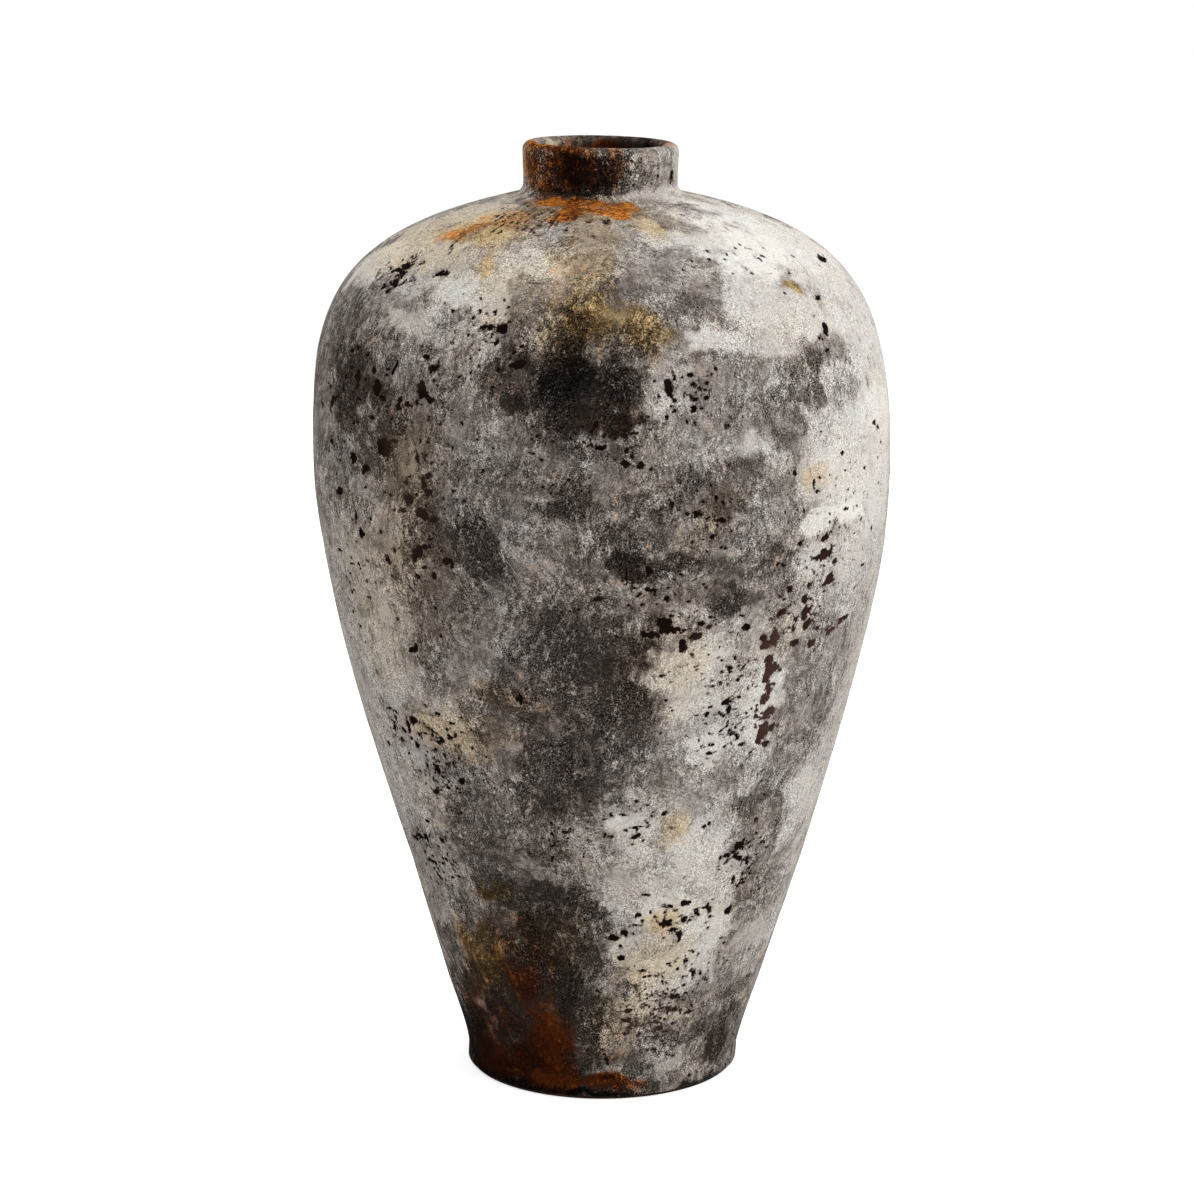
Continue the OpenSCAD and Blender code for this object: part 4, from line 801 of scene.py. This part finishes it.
def turned_piece(name, profile, finish, around, dent=None):
    """A closed turned solid that stands for the CAD node of its name: the profile's points, each at every
    azimuth, joined into a ring. Points on the axis become one pole each. The dent moves the points."""
    profile = np.asarray(profile, float)
    x, z = profile.T
    if np.sum(x * np.roll(z, -1) - np.roll(x, -1) * z) < 0:
        profile = profile[::-1]
    on_axis = profile[:, 0] < 1e-9
    if on_axis.any():
        first = np.flatnonzero(on_axis & ~np.roll(on_axis, 1))[0]
        profile = np.roll(profile, -first - 1, axis=0)
        profile = profile[profile[:, 0] >= 1e-9]
        poles = np.array([[0, 0, profile[0, 1]], [0, 0, profile[-1, 1]]])
    turn = np.arange(around) * TAU / around - math.pi
    grid = turned(profile[:, :1], profile[:, 1:], turn[None, :])
    if dent:
        grid = dent(grid)
    rows = len(profile)
    index = np.arange(rows * around).reshape(rows, around)
    side = np.roll(index, -1, axis=1)
    if on_axis.any():
        low, high = index[:-1], index[1:]
        low_side, high_side = side[:-1], side[1:]
        base = rows * around
        triangles = np.concatenate([
            np.stack([side[0], index[0], np.full(around, base)], -1),
            np.stack([index[-1], side[-1], np.full(around, base + 1)], -1)])
        points = np.concatenate([grid.reshape(-1, 3), poles])
    else:
        low, high = index, np.roll(index, -1, axis=0)
        low_side, high_side = side, np.roll(side, -1, axis=0)
        triangles = np.zeros((0, 3), int)
        points = grid.reshape(-1, 3)
    quads = np.stack([low, low_side, high_side, high], -1).reshape(-1, 4)
    piece = mesh_piece(name, stray(points), quads, triangles, name, finish)
    piece.data.set_sharp_from_angle(angle=SHARP_FROM)
    return piece


def at(length, depth):
    """Points at lengths along the outline, at a depth below its surface."""
    place, normal = stations(np.atleast_1d(length))
    return place - depth * normal


def key_point(length):
    """Point of the V in a seam's edge: half way through the wall, and pushed along it."""
    place, normal = stations(np.atleast_1d(length))
    return place - (SKIN_T + WALL_T / 2) * normal + KEY_D * np.stack([normal[:, 1], -normal[:, 0]], -1)


# Depth of the finger ridges, height of the slip's bead, and how far behind the inner face both reach;
# then the arcs under the slab: their centre, the step from one to the next, how far they wander, and
# their depth; and how deep the slab's side is worn
RIDGE_D, BEAD_D, FACE_BAND = 0.5 * MM, 0.9 * MM, 2.5 * MM
WIRE_X, WIRE_Y, WIRE_STEP, WIRE_WANDER, WIRE_D = 0.31, -0.18, 5.5 * MM, 4 * MM, 0.12 * MM
SIDE_WORN_D = 0.35 * MM


def length_at(height):
    """Length along the outline at which its outside reaches a height."""
    top = OUT_POINTS[:, 1].argmax() + 1
    return float(np.interp(height, OUT_POINTS[:top, 1], LENGTH[:top]))


def pushed(grid, push):
    """The grid with the points near the clay's inner face moved away from the axis."""
    length = np.linspace(length_at(SLAB_T), length_at(CROWN_Z), 400)
    face = at(length, CLAY_IN)
    radius = np.hypot(grid[..., 0], grid[..., 1])
    limit = np.interp(grid[..., 2], face[:, 1], face[:, 0])
    inside = 1 - smooth(0, FACE_BAND, np.abs(radius - limit))
    wider = 1 + push * inside / radius
    return grid * np.stack([wider, wider, np.ones_like(wider)], -1)


def finger_ridges(grid):
    """Marks of the coils and the fingers on the inside of a wall: flat rings that push into the clay,
    stronger and weaker by noise, and only on the side that faces the axis."""
    ringed = cloud(grid * (0.3, 0.3, 1), 15 * MM, 3, 12.0, 0.6)
    rough = cloud(grid, 30 * MM, 4, 13.0, 0.6)
    return pushed(grid, RIDGE_D * np.clip(1 + ringed + 0.6 * rough, 0, 2.4))


def squeezed(grid):
    """Slip pressed out of a seam on the inside: a low uneven bead that stands out of the clay's face."""
    return pushed(grid, -BEAD_D * np.clip(0.7 + cloud(grid, 18 * MM, 3, 14.0, 0.6), 0, 1.6))


def wire_cut(grid):
    """Underside of the slab as a wire left it: shallow arcs that all curve the same way, and a worn side."""
    x, y, z = grid[..., 0], grid[..., 1], grid[..., 2]
    reach = np.hypot(x - WIRE_X, y - WIRE_Y) + WIRE_WANDER * cloud(grid, 60 * MM, 2, 15.0, 0.5)
    radius = np.hypot(x, y)
    under = (1 - smooth(0, 0.5 * MM, z)) * (1 - smooth(FOOT_R - 8 * MM, FOOT_R - 4 * MM, radius))
    rise = WIRE_D * (1 + np.sin(reach * TAU / WIRE_STEP)) * np.clip(0.6 + cloud(grid, 25 * MM, 2, 16.0), 0, 1)
    side = smooth(0.2 * MM, 1 * MM, z) * smooth(FOOT_R - 5 * MM, FOOT_R - 3 * MM, radius) * (z < SLAB_T * 0.9)
    worn = SIDE_WORN_D * np.clip(0.6 + cloud(grid, 9 * MM, 3, 17.0, 0.7), 0, 1.6)
    narrower = 1 - side * worn / np.maximum(radius, MM)
    return np.stack([x * narrower, y * narrower, z + rise * under], -1)


# Points around the clay pieces and the slab, and their steps along the outside, the inside and a seam;
# rows of the collar's outside, bore and throat, the slab's underside, side and top, and the undercoat
AROUND_CLAY, AROUND_SLAB = 176, 256
OUT_STEP, IN_STEP, SEAM_STEP = 12 * MM, 3.5 * MM, 0.5 * MM
COLLAR_ROWS, BORE_ROWS, THROAT_ROWS = 60, 8, 16
UNDER_ROWS, SIDE_ROWS, TOP_ROWS, UNDERCOAT_ROWS = 120, 12, 24, 260

# Where the collar starts and its throat turns, and the two lengths between which each seam lies
NECK_SEAM_L = length_at(CROWN_Z) + SLOPE_L
THROAT_R = MOUTH_R + SKIN_T
THROAT_CENTRE = corner_centre(THROAT_R, THROAT_ROUND, CLAY_IN)
SEAMS = {
    "foot_seam": (length_at(SLAB_T), length_at(FOOT_H)),
    "lower_seam": (length_at(LOWER_SEAM_Z), length_at(LOWER_SEAM_Z + SLIP_T)),
    "belly_seam": (length_at(BELLY_SEAM_Z), length_at(BELLY_SEAM_Z + SLIP_T)),
    "upper_seam": (length_at(UPPER_SEAM_Z), length_at(UPPER_SEAM_Z + SLIP_T)),
    "neck_seam": (NECK_SEAM_L, NECK_SEAM_L + SLIP_T),
}


def keyed_profile(a, b, step=IN_STEP):
    """Profile of a wall section or seam between two lengths, with the V across both of its edges."""
    out = np.linspace(a, b, max(2, int((b - a) / OUT_STEP) + 1))
    inn = np.linspace(b, a, max(2, int((b - a) / step) + 1))
    return np.concatenate([at(out, SKIN_T), key_point(b), at(inn, CLAY_IN), key_point(a)])


def build_clay(clay, foot_clay, slip, undercoat):
    """Slab, wall sections, collar, the slip in their seams, and the undercoat over them."""
    names = list(SEAMS)
    for k, wall in enumerate(("lower_wall", "belly_wall", "upper_wall", "shoulder_wall")):
        profile = keyed_profile(SEAMS[names[k]][1], SEAMS[names[k + 1]][0])
        turned_piece(wall, profile, clay, AROUND_CLAY, finger_ridges)
    for seam, (a, b) in SEAMS.items():
        turned_piece(seam, keyed_profile(a, b, SEAM_STEP), slip, AROUND_CLAY, squeezed)
    last = SEAMS["neck_seam"][1]
    out = np.linspace(last, LENGTH[-1], COLLAR_ROWS)
    throat = arc(THROAT_CENTRE, THROAT_ROUND, 0, math.pi / 2 - CROWN_FALL, -1, THROAT_ROWS)[0]
    down = np.linspace(LIP_Z - MOUTH_L, THROAT_CENTRE[1], BORE_ROWS, endpoint=False)
    bore = np.stack([np.full(BORE_ROWS, THROAT_R), down], -1)
    collar = np.concatenate([at(out, SKIN_T), bore, throat, at(last, CLAY_IN), key_point(last)])
    turned_piece("neck_collar", collar, clay, AROUND_CLAY)
    edge = FOOT_R - SKIN_T
    under = [(r, 0) for r in np.linspace(0, edge - SLAB_BEVEL, UNDER_ROWS)]
    side = [(edge, z) for z in np.linspace(SLAB_BEVEL, SLAB_T, SIDE_ROWS)]
    top = [(r, SLAB_T) for r in np.linspace(FOOT_R - CLAY_IN, 0, TOP_ROWS)]
    slab = np.concatenate([under, side, key_point(length_at(SLAB_T)), top])
    turned_piece("foot_slab", slab, foot_clay, AROUND_SLAB, wire_cut)
    whole = np.linspace(0, LENGTH[-1], UNDERCOAT_ROWS)
    layer = np.concatenate([at(whole, COAT_T), at(whole[::-1], SKIN_T)])
    turned_piece("dark_undercoat", layer, undercoat, AROUND_CLAY)


def colour(rgb):
    """A colour written as it looks, in 8-bit steps, turned into light values."""
    return tuple(c / 255 / 12.92 if c <= 10 else ((c / 255 + 0.055) / 1.055) ** 2.4 for c in rgb) + (1.0,)


class Tree:
    """Shorthand for adding and joining the nodes of a material or a node group."""

    def __init__(self, tree):
        """The node tree that is built on."""
        self.tree = tree

    def add(self, kind, **settings):
        """A node with its settings."""
        made = self.tree.nodes.new("ShaderNode" + kind)
        for key, setting in settings.items():
            setattr(made, key, setting)
        return made

    def feed(self, socket, source):
        """A number, colour or link into a socket."""
        if isinstance(source, bpy.types.NodeSocket):
            self.tree.links.new(source, socket)
        else:
            socket.default_value = source

    def sum(self, operation, a, b=0.0, c=0.0, clamp=False):
        """One step of arithmetic."""
        made = self.add("Math", operation=operation, use_clamp=clamp)
        for socket, source in zip(made.inputs, (a, b, c)):
            self.feed(socket, source)
        return made.outputs[0]

    def scaled(self, a, b, c, clamp=False):
        """The product of a and b, plus c."""
        return self.sum("MULTIPLY_ADD", a, b, c, clamp)

    def spread(self, x, a, b, c=0.0, d=1.0):
        """The range a to b taken to the range c to d, and held there."""
        made = self.add("MapRange", interpolation_type="LINEAR", clamp=True)
        for socket, source in zip(made.inputs, (x, a, b, c, d)):
            self.feed(socket, source)
        return made.outputs[0]

    def mix(self, share, a, b, blend="MIX"):
        """Two colours mixed."""
        made = self.add("Mix", data_type="RGBA", blend_type=blend, clamp_factor=True)
        for socket, source in zip((made.inputs[0], made.inputs[6], made.inputs[7]), (share, a, b)):
            self.feed(socket, source)
        return made.outputs[2]

    def noise(self, place, scale, detail, rough, shift):
        """Noise from 0 to 1 with a scale per metre."""
        moved = self.add("VectorMath", operation="ADD")
        self.feed(moved.inputs[0], place)
        moved.inputs[1].default_value = (shift, shift * 0.7, -shift)
        made = self.add("TexNoise", noise_dimensions="3D")
        self.feed(made.inputs["Vector"], moved.outputs[0])
        for key, setting in (("Scale", scale), ("Detail", detail), ("Roughness", rough)):
            made.inputs[key].default_value = setting
        return made.outputs[0]

    def squeeze(self, place, factors):
        """Places scaled along each axis, so that a pattern stretches."""
        made = self.add("VectorMath", operation="MULTIPLY")
        self.feed(made.inputs[0], place)
        made.inputs[1].default_value = factors
        return made.outputs[0]

    def ramp(self, share, stops):
        """A colour from a row of stops, each a place and a colour in 8-bit steps."""
        made = self.add("ValToRGB")
        stops_in = made.color_ramp.elements
        while len(stops_in) < len(stops):
            stops_in.new(0.5)
        for stop, (place, rgb) in zip(stops_in, stops):
            stop.position = place
            stop.color = colour(rgb)
        self.feed(made.inputs[0], share)
        return made.outputs[0]

    def value(self, name):
        """A value painted on the mesh."""
        return self.add("Attribute", attribute_name=name, attribute_type="GEOMETRY").outputs["Fac"]

    def group(self, tree, *sources):
        """A node group with its inputs fed in order."""
        made = self.add("Group", node_tree=tree)
        for socket, source in zip(made.inputs, sources):
            self.feed(socket, source)
        return made.outputs


def new_group(name, inputs, outputs):
    """An empty node group with named inputs and outputs, which are all values; returns its tree and the
    sockets of its input and output nodes."""
    tree = bpy.data.node_groups.new(name, "ShaderNodeTree")
    for label, kind in inputs:
        tree.interface.new_socket(label, in_out="INPUT", socket_type="NodeSocket" + kind)
    for label in outputs:
        tree.interface.new_socket(label, in_out="OUTPUT", socket_type="NodeSocketFloat")
    return tree, tree.nodes.new("NodeGroupInput").outputs, tree.nodes.new("NodeGroupOutput").inputs


def grain_group():
    """Grain of a dry mineral surface at a place: broad and small dabs of a brush whose way turns from
    place to place, fine grain, hair lines of the bristles in curls, slow changes of hue, and how
    coarse the surface is there."""
    tree, given, made = new_group("dry grain", [("Place", "Vector")], [
        "Broad dabs", "Small dabs", "Fine grain", "Hair lines", "Hue", "Pale flecks", "Dark specks",
        "Coarseness"])
    t = Tree(tree)
    place = given[0]
    turned_way = t.add("TexNoise", noise_dimensions="3D")
    t.feed(turned_way.inputs["Vector"], place)
    turned_way.inputs["Scale"].default_value = 16
    moved = t.add("VectorMath", operation="MULTIPLY_ADD")
    t.feed(moved.inputs[0], turned_way.outputs["Color"])
    moved.inputs[1].default_value = (0.04, 0.04, 0.04)
    t.feed(moved.inputs[2], place)
    tall = t.squeeze(moved.outputs[0], (1, 1, 0.45))
    wide = t.squeeze(moved.outputs[0], (0.5, 0.5, 1))
    way = t.spread(t.noise(place, 11, 2, 0.5, 31.0), 0.42, 0.58)
    upright = t.noise(tall, 66, 5, 0.66, 29.0)
    level = t.noise(wide, 66, 5, 0.66, 37.0)
    both = t.scaled(t.sum("SUBTRACT", level, upright), way, upright)
    t.feed(made[0], t.scaled(both, 3.4, -1.7))
    small = t.noise(tall, 230, 4, 0.72, 33.0)
    t.feed(made[1], t.scaled(small, 3.4, -1.7))
    t.feed(made[2], t.scaled(t.noise(place, 800, 2, 0.95, 7.0), 3.0, -1.5))
    slow = t.noise(t.squeeze(place, (1, 1, 0.8)), 13, 2, 0.35, 41.0)
    turns = t.sum("FRACT", t.scaled(slow, 50.0, t.sum("MULTIPLY", small, 1.6)))
    line = t.spread(t.sum("ABSOLUTE", t.sum("SUBTRACT", turns, 0.5)), 0.0, 0.26, 1.0, 0.0)
    where = t.spread(t.noise(place, 24, 3, 0.6, 5.0), 0.5, 0.62)
    broken = t.spread(small, 0.38, 0.54)
    t.feed(made[3], t.sum("MULTIPLY", t.sum("MULTIPLY", line, where), broken))
    t.feed(made[4], t.scaled(t.noise(place, 14, 4, 0.7, 17.0), 2.0, -1.0))
    coarse = t.spread(t.noise(place, 36, 3, 0.6, 47.0), 0.36, 0.64, 0.55, 1.5)
    t.feed(made[5], t.spread(t.scaled(coarse, 0.06, t.noise(place, 400, 3, 0.75, 21.0)), 0.67, 0.72))
    t.feed(made[6], t.spread(t.scaled(coarse, 0.05, t.noise(place, 560, 3, 0.8, 27.0)), 0.64, 0.7))
    t.feed(made[7], coarse)
    return tree


def pits_group():
    """Small ragged pits at a place: how deep inside one a point is, from 0 to 1, for a share of pitting."""
    tree, given, made = new_group("small pits", [("Place", "Vector"), ("Pitting", "Float")], ["Pit"])
    t = Tree(tree)
    small = t.noise(given[0], 330, 3, 0.75, 3.0)
    large = t.noise(given[0], 150, 4, 0.75, 9.0)
    limit = t.spread(given[1], 0, 1, 0.735, 0.6)
    a = t.spread(t.sum("SUBTRACT", small, limit), 0.0, 0.025)
    b = t.spread(t.sum("SUBTRACT", large, t.sum("ADD", limit, 0.01)), 0.0, 0.02)
    t.feed(made[0], t.sum("MAXIMUM", a, b))
    return tree


def new_material(name):
    """A material with an empty tree, its Principled shader and the place on the object."""
    material = bpy.data.materials.new(name)
    material.use_nodes = True
    t = Tree(material.node_tree)
    shader = material.node_tree.nodes["Principled BSDF"]
    return material, t, shader, t.add("TexCoord").outputs["Object"]


def rough_relief(t, shader, height, strength, distance):
    """Fine relief from a height value."""
    bump = t.add("Bump")
    bump.inputs["Strength"].default_value = strength
    bump.inputs["Distance"].default_value = distance
    t.feed(bump.inputs["Height"], height)
    t.feed(shader.inputs["Normal"], bump.outputs[0])


# Colours of the finishes from dark to pale: each stop's place from 0 to 1, and its colour
TONES = [(0, (4, 3, 2)), (0.2, (49, 43, 39)), (0.4, (98, 91, 86)), (0.6, (146, 140, 135)),
         (0.8, (189, 186, 181)), (1, (235, 235, 230))]
RUSTS = [(0, (12, 5, 2)), (0.1, (42, 15, 4)), (0.3, (86, 42, 14)), (0.55, (164, 98, 33)),
         (0.8, (206, 134, 64)), (1, (228, 190, 140))]
CLAY_BROWNS = [(0, (62, 32, 18)), (0.5, (128, 78, 46)), (1, (176, 124, 84))]
SLIP_BROWNS = [(0, (48, 26, 16)), (0.5, (96, 56, 34)), (1, (140, 92, 60))]
UNDERCOAT_DARKS = [(0, (14, 10, 9)), (0.5, (36, 28, 24)), (1, (70, 56, 48))]

# Single colours: tints of the grey and of the ochre, what shows inside a chip, its rim, and the dark at the
# foot's edge
COOL_TINT, WARM_TINT, OCHRE_TINT = (251, 252, 254), (255, 249, 242), (255, 226, 164)
DARK_COAT, BROWN_COAT, EARTH = (3, 2, 2), (26, 17, 12), (64, 45, 40)
RIM_BROWN, EDGE_DARK = (84, 62, 46), (16, 10, 7)


def bare_places(t, place, pits):
    """How far past the edge of a chip a point is, with flakes and noise added to it, and how bare the
    coat is there: fully inside a chip, and half way inside a pit."""
    pit = t.group(pits, place, t.value("pitting"))[0]
    flake = t.add("TexVoronoi", feature="F1")
    t.feed(flake.inputs["Vector"], place)
    flake.inputs["Scale"].default_value = 270
    ragged = t.scaled(t.noise(place, 330, 4, 0.85, 19.0), 7.5, -4.9)
    chip = t.sum("ADD", t.scaled(flake.outputs["Distance"], 2.4, ragged), t.value("chip"))
    return chip, t.sum("MAXIMUM", t.spread(chip, 0.2, -0.2), t.sum("MULTIPLY", pit, 0.5))


def broken_tone(t, tone, rust, grains):
    """The painted tone broken up: it is pulled to dark or pale where the broad and the small dabs cross
    it, and grain, flecks, specks and hair lines are added to it, each with a weight that follows the
    tone. Returns that level, and the broad dabs by themselves."""
    broad, small, fine, lines, _, flecks, specks, coarse = grains
    crisp = t.sum("MULTIPLY", t.value("crisp"), 2.0)
    worn = t.spread(t.sum("ADD", broad, tone), 0.36, 0.64)
    dabbed = t.spread(t.sum("ADD", small, tone), 0.38, 0.62)
    level = t.scaled(t.sum("SUBTRACT", worn, tone), t.spread(tone, 0.4, 0.8, 0.13, 0.06), tone)
    share = t.sum("MULTIPLY", t.sum("MULTIPLY", coarse, crisp), t.spread(tone, 0.4, 0.95, 0.18, 0.06))
    level = t.scaled(t.sum("SUBTRACT", dabbed, tone), share, level)
    grainy = t.sum("MINIMUM", t.spread(tone, 0, 0.3, 0.3, 0.5), t.spread(tone, 0.65, 1, 0.56, 0.06))
    grainy = t.sum("MULTIPLY", t.sum("MULTIPLY", grainy, crisp), t.spread(rust, 0, 1, 1, 0.9))
    level = t.scaled(fine, t.sum("MULTIPLY", grainy, coarse), level)
    level = t.scaled(t.sum("MULTIPLY", flecks, crisp), t.spread(tone, 0, 1, 0.32, 0.04), level)
    level = t.scaled(t.sum("MULTIPLY", specks, crisp), t.spread(tone, 0, 0.9, 0.0, -0.22), level)
    level = t.scaled(lines, t.spread(tone, 0.15, 0.6, 0.08, -0.16), level)
    return t.sum("SUBTRACT", level, t.spread(tone, 0, 0.15, 0.07, 0), clamp=True), worn


def coat_colour(t, level, tone, rust, grains):
    """The coat's colour at a level: a grey that is cooler or warmer by the slow hue, tinted where it is
    stained with ochre, and mottled rust over it where the stain and the dabs let it through."""
    broad, small, _, _, hue = grains[:5]
    tint = t.mix(t.spread(hue, -0.45, 0.45), colour(COOL_TINT), colour(WARM_TINT))
    grey = t.mix(1.0, t.ramp(level, TONES), tint, "MULTIPLY")
    stained = t.mix(t.value("ochre"), grey, t.mix(1.0, grey, colour(OCHRE_TINT), "MULTIPLY"))
    mottling = t.sum("MULTIPLY", small, t.spread(tone, 0.2, 0.5, 0.02, 0.2))
    mottled = t.sum("ADD", mottling, t.scaled(hue, 0.2, 0.03))
    rusted = t.ramp(t.scaled(level, 0.8, mottled), RUSTS)
    streaks = t.scaled(broad, 0.35, t.scaled(small, 0.25, rust))
    return t.mix(t.spread(streaks, 0.12, 0.8), stained, rusted)


def mineral_coat_material(grain, pits):
    """The worn mineral coat, with a brown rim where it thins towards a chip, and the dark undercoat or
    the clay where it is bare."""
    material, t, shader, place = new_material("worn mineral coat")
    grains = t.group(grain, place)[:8]
    fine, hue = grains[2], grains[4]
    tone, rust = t.value("tone"), t.value("rust")
    chip, bare = bare_places(t, place, pits)
    level, worn = broken_tone(t, tone, rust, grains)
    rim = t.spread(t.sum("ABSOLUTE", t.sum("ADD", chip, -0.3)), 0.0, 0.8, 0.45, 0.0)
    coat = t.mix(rim, coat_colour(t, level, tone, rust, grains), colour(RIM_BROWN))
    inside = t.mix(t.spread(hue, -0.4, 0.4), colour(DARK_COAT), colour(BROWN_COAT))
    inside = t.mix(t.value("earthy"), inside, colour(EARTH))
    t.feed(shader.inputs["Base Color"], t.mix(bare, coat, inside))
    t.feed(shader.inputs["Roughness"], t.spread(level, 0, 1, 0.85, 0.95))
    shader.inputs["Specular IOR Level"].default_value = 0.02
    rough = t.sum("ADD", t.sum("MULTIPLY", worn, 0.5), t.sum("MULTIPLY", fine, 0.5))
    rough_relief(t, shader, t.scaled(bare, -1.2, rough), 0.6, 0.4 * MM)
    return material


def plain_material(name, grain, stops, roughness, relief, darkened_from=1.0):
    """A bare finish whose colour runs through stops by the grain, and is darker past a radius."""
    material, t, shader, place = new_material(name)
    broad, small, fine, _, hue = t.group(grain, place)[:5]
    mottling = t.scaled(small, 0.4, t.scaled(broad, 0.4, 0.5))
    level = t.scaled(fine, 0.3, t.scaled(hue, 0.6, mottling), clamp=True)
    out = t.add("VectorMath", operation="LENGTH")
    t.feed(out.inputs[0], t.squeeze(place, (1, 1, 0)))
    # darker at the foot's outer edge, past the radius given
    darkened = t.spread(out.outputs["Value"], darkened_from, darkened_from + 0.003)
    t.feed(shader.inputs["Base Color"], t.mix(darkened, t.ramp(level, stops), colour(EDGE_DARK)))
    shader.inputs["Roughness"].default_value = roughness
    shader.inputs["Specular IOR Level"].default_value = 0.3
    rough_relief(t, shader, mottling, 0.5, relief)
    return material


# The camera as it was fitted to the outline and the ovals of the mouth and the foot
IMAGE_W, FOCUS_PX, SENSOR_W = 1194, 3547, 36
CAMERA_PLACE, CAMERA_TILT = (-0.0042, -2.96, 1.0638), math.radians(90 - 12.313)


def place_camera():
    """The camera where the photograph was taken from: above the rim, looking a little down."""
    data = bpy.data.cameras.new("camera")
    data.sensor_width = SENSOR_W
    data.lens = SENSOR_W * FOCUS_PX / IMAGE_W
    data.clip_start, data.clip_end = 0.1, 50
    camera = placed("camera", data)
    camera.location = CAMERA_PLACE
    camera.rotation_euler = (CAMERA_TILT, 0, 0)
    bpy.context.scene.camera = camera


# Soft square lights, all aimed at the middle of the jar: name, place and power
LIGHTS = [("key light", (2.4, -1.4, 2.6), 50), ("top light", (0.3, 0.2, 3.2), 25)]
LIGHT_W, LIGHT_AIM = 2.4, (0, 0, 0.4)
ROOM_LIGHT, FLOOR_GLOW = 0.83, 0.58
FLOOR_W, FLOOR_Z = 8, -0.3 * MM


def lamp(name, where, power):
    """A soft square light."""
    data = bpy.data.lights.new(name, "AREA")
    data.size, data.energy = LIGHT_W, power
    made = placed(name, data)
    made.location = where
    made.rotation_euler = (Vector(LIGHT_AIM) - Vector(where)).to_track_quat("-Z", "Y").to_euler()


def white_room():
    """Even white around the jar: full white where it is looked at, softer as a light."""
    world = bpy.data.worlds.new("white room")
    world.use_nodes = True
    t = Tree(world.node_tree)
    path = t.add("LightPath")
    seen = t.sum("MAXIMUM", path.outputs["Is Camera Ray"], path.outputs["Is Transmission Ray"])
    background = world.node_tree.nodes["Background"]
    background.inputs["Color"].default_value = (1, 1, 1, 1)
    t.feed(background.inputs["Strength"], t.spread(seen, 0, 1, ROOM_LIGHT, 1.0))
    bpy.context.scene.world = world


def white_floor():
    """A white table top that keeps a faint shadow and is clear from below."""
    mesh = bpy.data.meshes.new("table_top")
    half = FLOOR_W / 2
    corners = [(x, y, FLOOR_Z) for x, y in ((-half, -half), (half, -half), (half, half), (-half, half))]
    mesh.from_pydata(corners, [], [(0, 1, 2, 3)])
    top = placed("table_top", mesh)
    material = bpy.data.materials.new("white table top")
    material.use_nodes = True
    t = Tree(material.node_tree)
    shader = material.node_tree.nodes["Principled BSDF"]
    shader.inputs["Base Color"].default_value = (0.9, 0.9, 0.9, 1)
    shader.inputs["Roughness"].default_value = 1.0
    shader.inputs["Specular IOR Level"].default_value = 0.0
    seen = t.add("LightPath").outputs["Is Camera Ray"]
    shader.inputs["Emission Color"].default_value = (1, 1, 1, 1)
    t.feed(shader.inputs["Emission Strength"], t.sum("MULTIPLY", seen, FLOOR_GLOW))
    clear = t.add("BsdfTransparent").outputs[0]
    joined = t.add("MixShader")
    t.feed(joined.inputs[0], t.add("NewGeometry").outputs["Backfacing"])
    t.feed(joined.inputs[1], shader.outputs[0])
    t.feed(joined.inputs[2], clear)
    t.feed(material.node_tree.nodes["Material Output"].inputs["Surface"], joined.outputs[0])
    mesh.materials.append(material)


def main():
    """Builds the jar, its finishes, the camera and the light."""
    grain = grain_group()
    clay = plain_material("bare clay", grain, CLAY_BROWNS, 0.9, 0.6 * MM)
    # the foot slab turns darker from this radius out
    darkened_from = FOOT_R - 6 * MM
    foot_clay = plain_material("bare clay with a dark edge", grain, CLAY_BROWNS, 0.9, 0.6 * MM, darkened_from)
    slip = plain_material("seam slip", grain, SLIP_BROWNS, 0.85, 0.8 * MM)
    undercoat = plain_material("dark undercoat", grain, UNDERCOAT_DARKS, 0.7, 0.4 * MM)
    build_coat(mineral_coat_material(grain, pits_group()))
    build_clay(clay, foot_clay, slip, undercoat)
    place_camera()
    for name, where, power in LIGHTS:
        lamp(name, where, power)
    white_room()
    white_floor()
    bpy.context.scene.view_settings.view_transform = "Standard"


main()
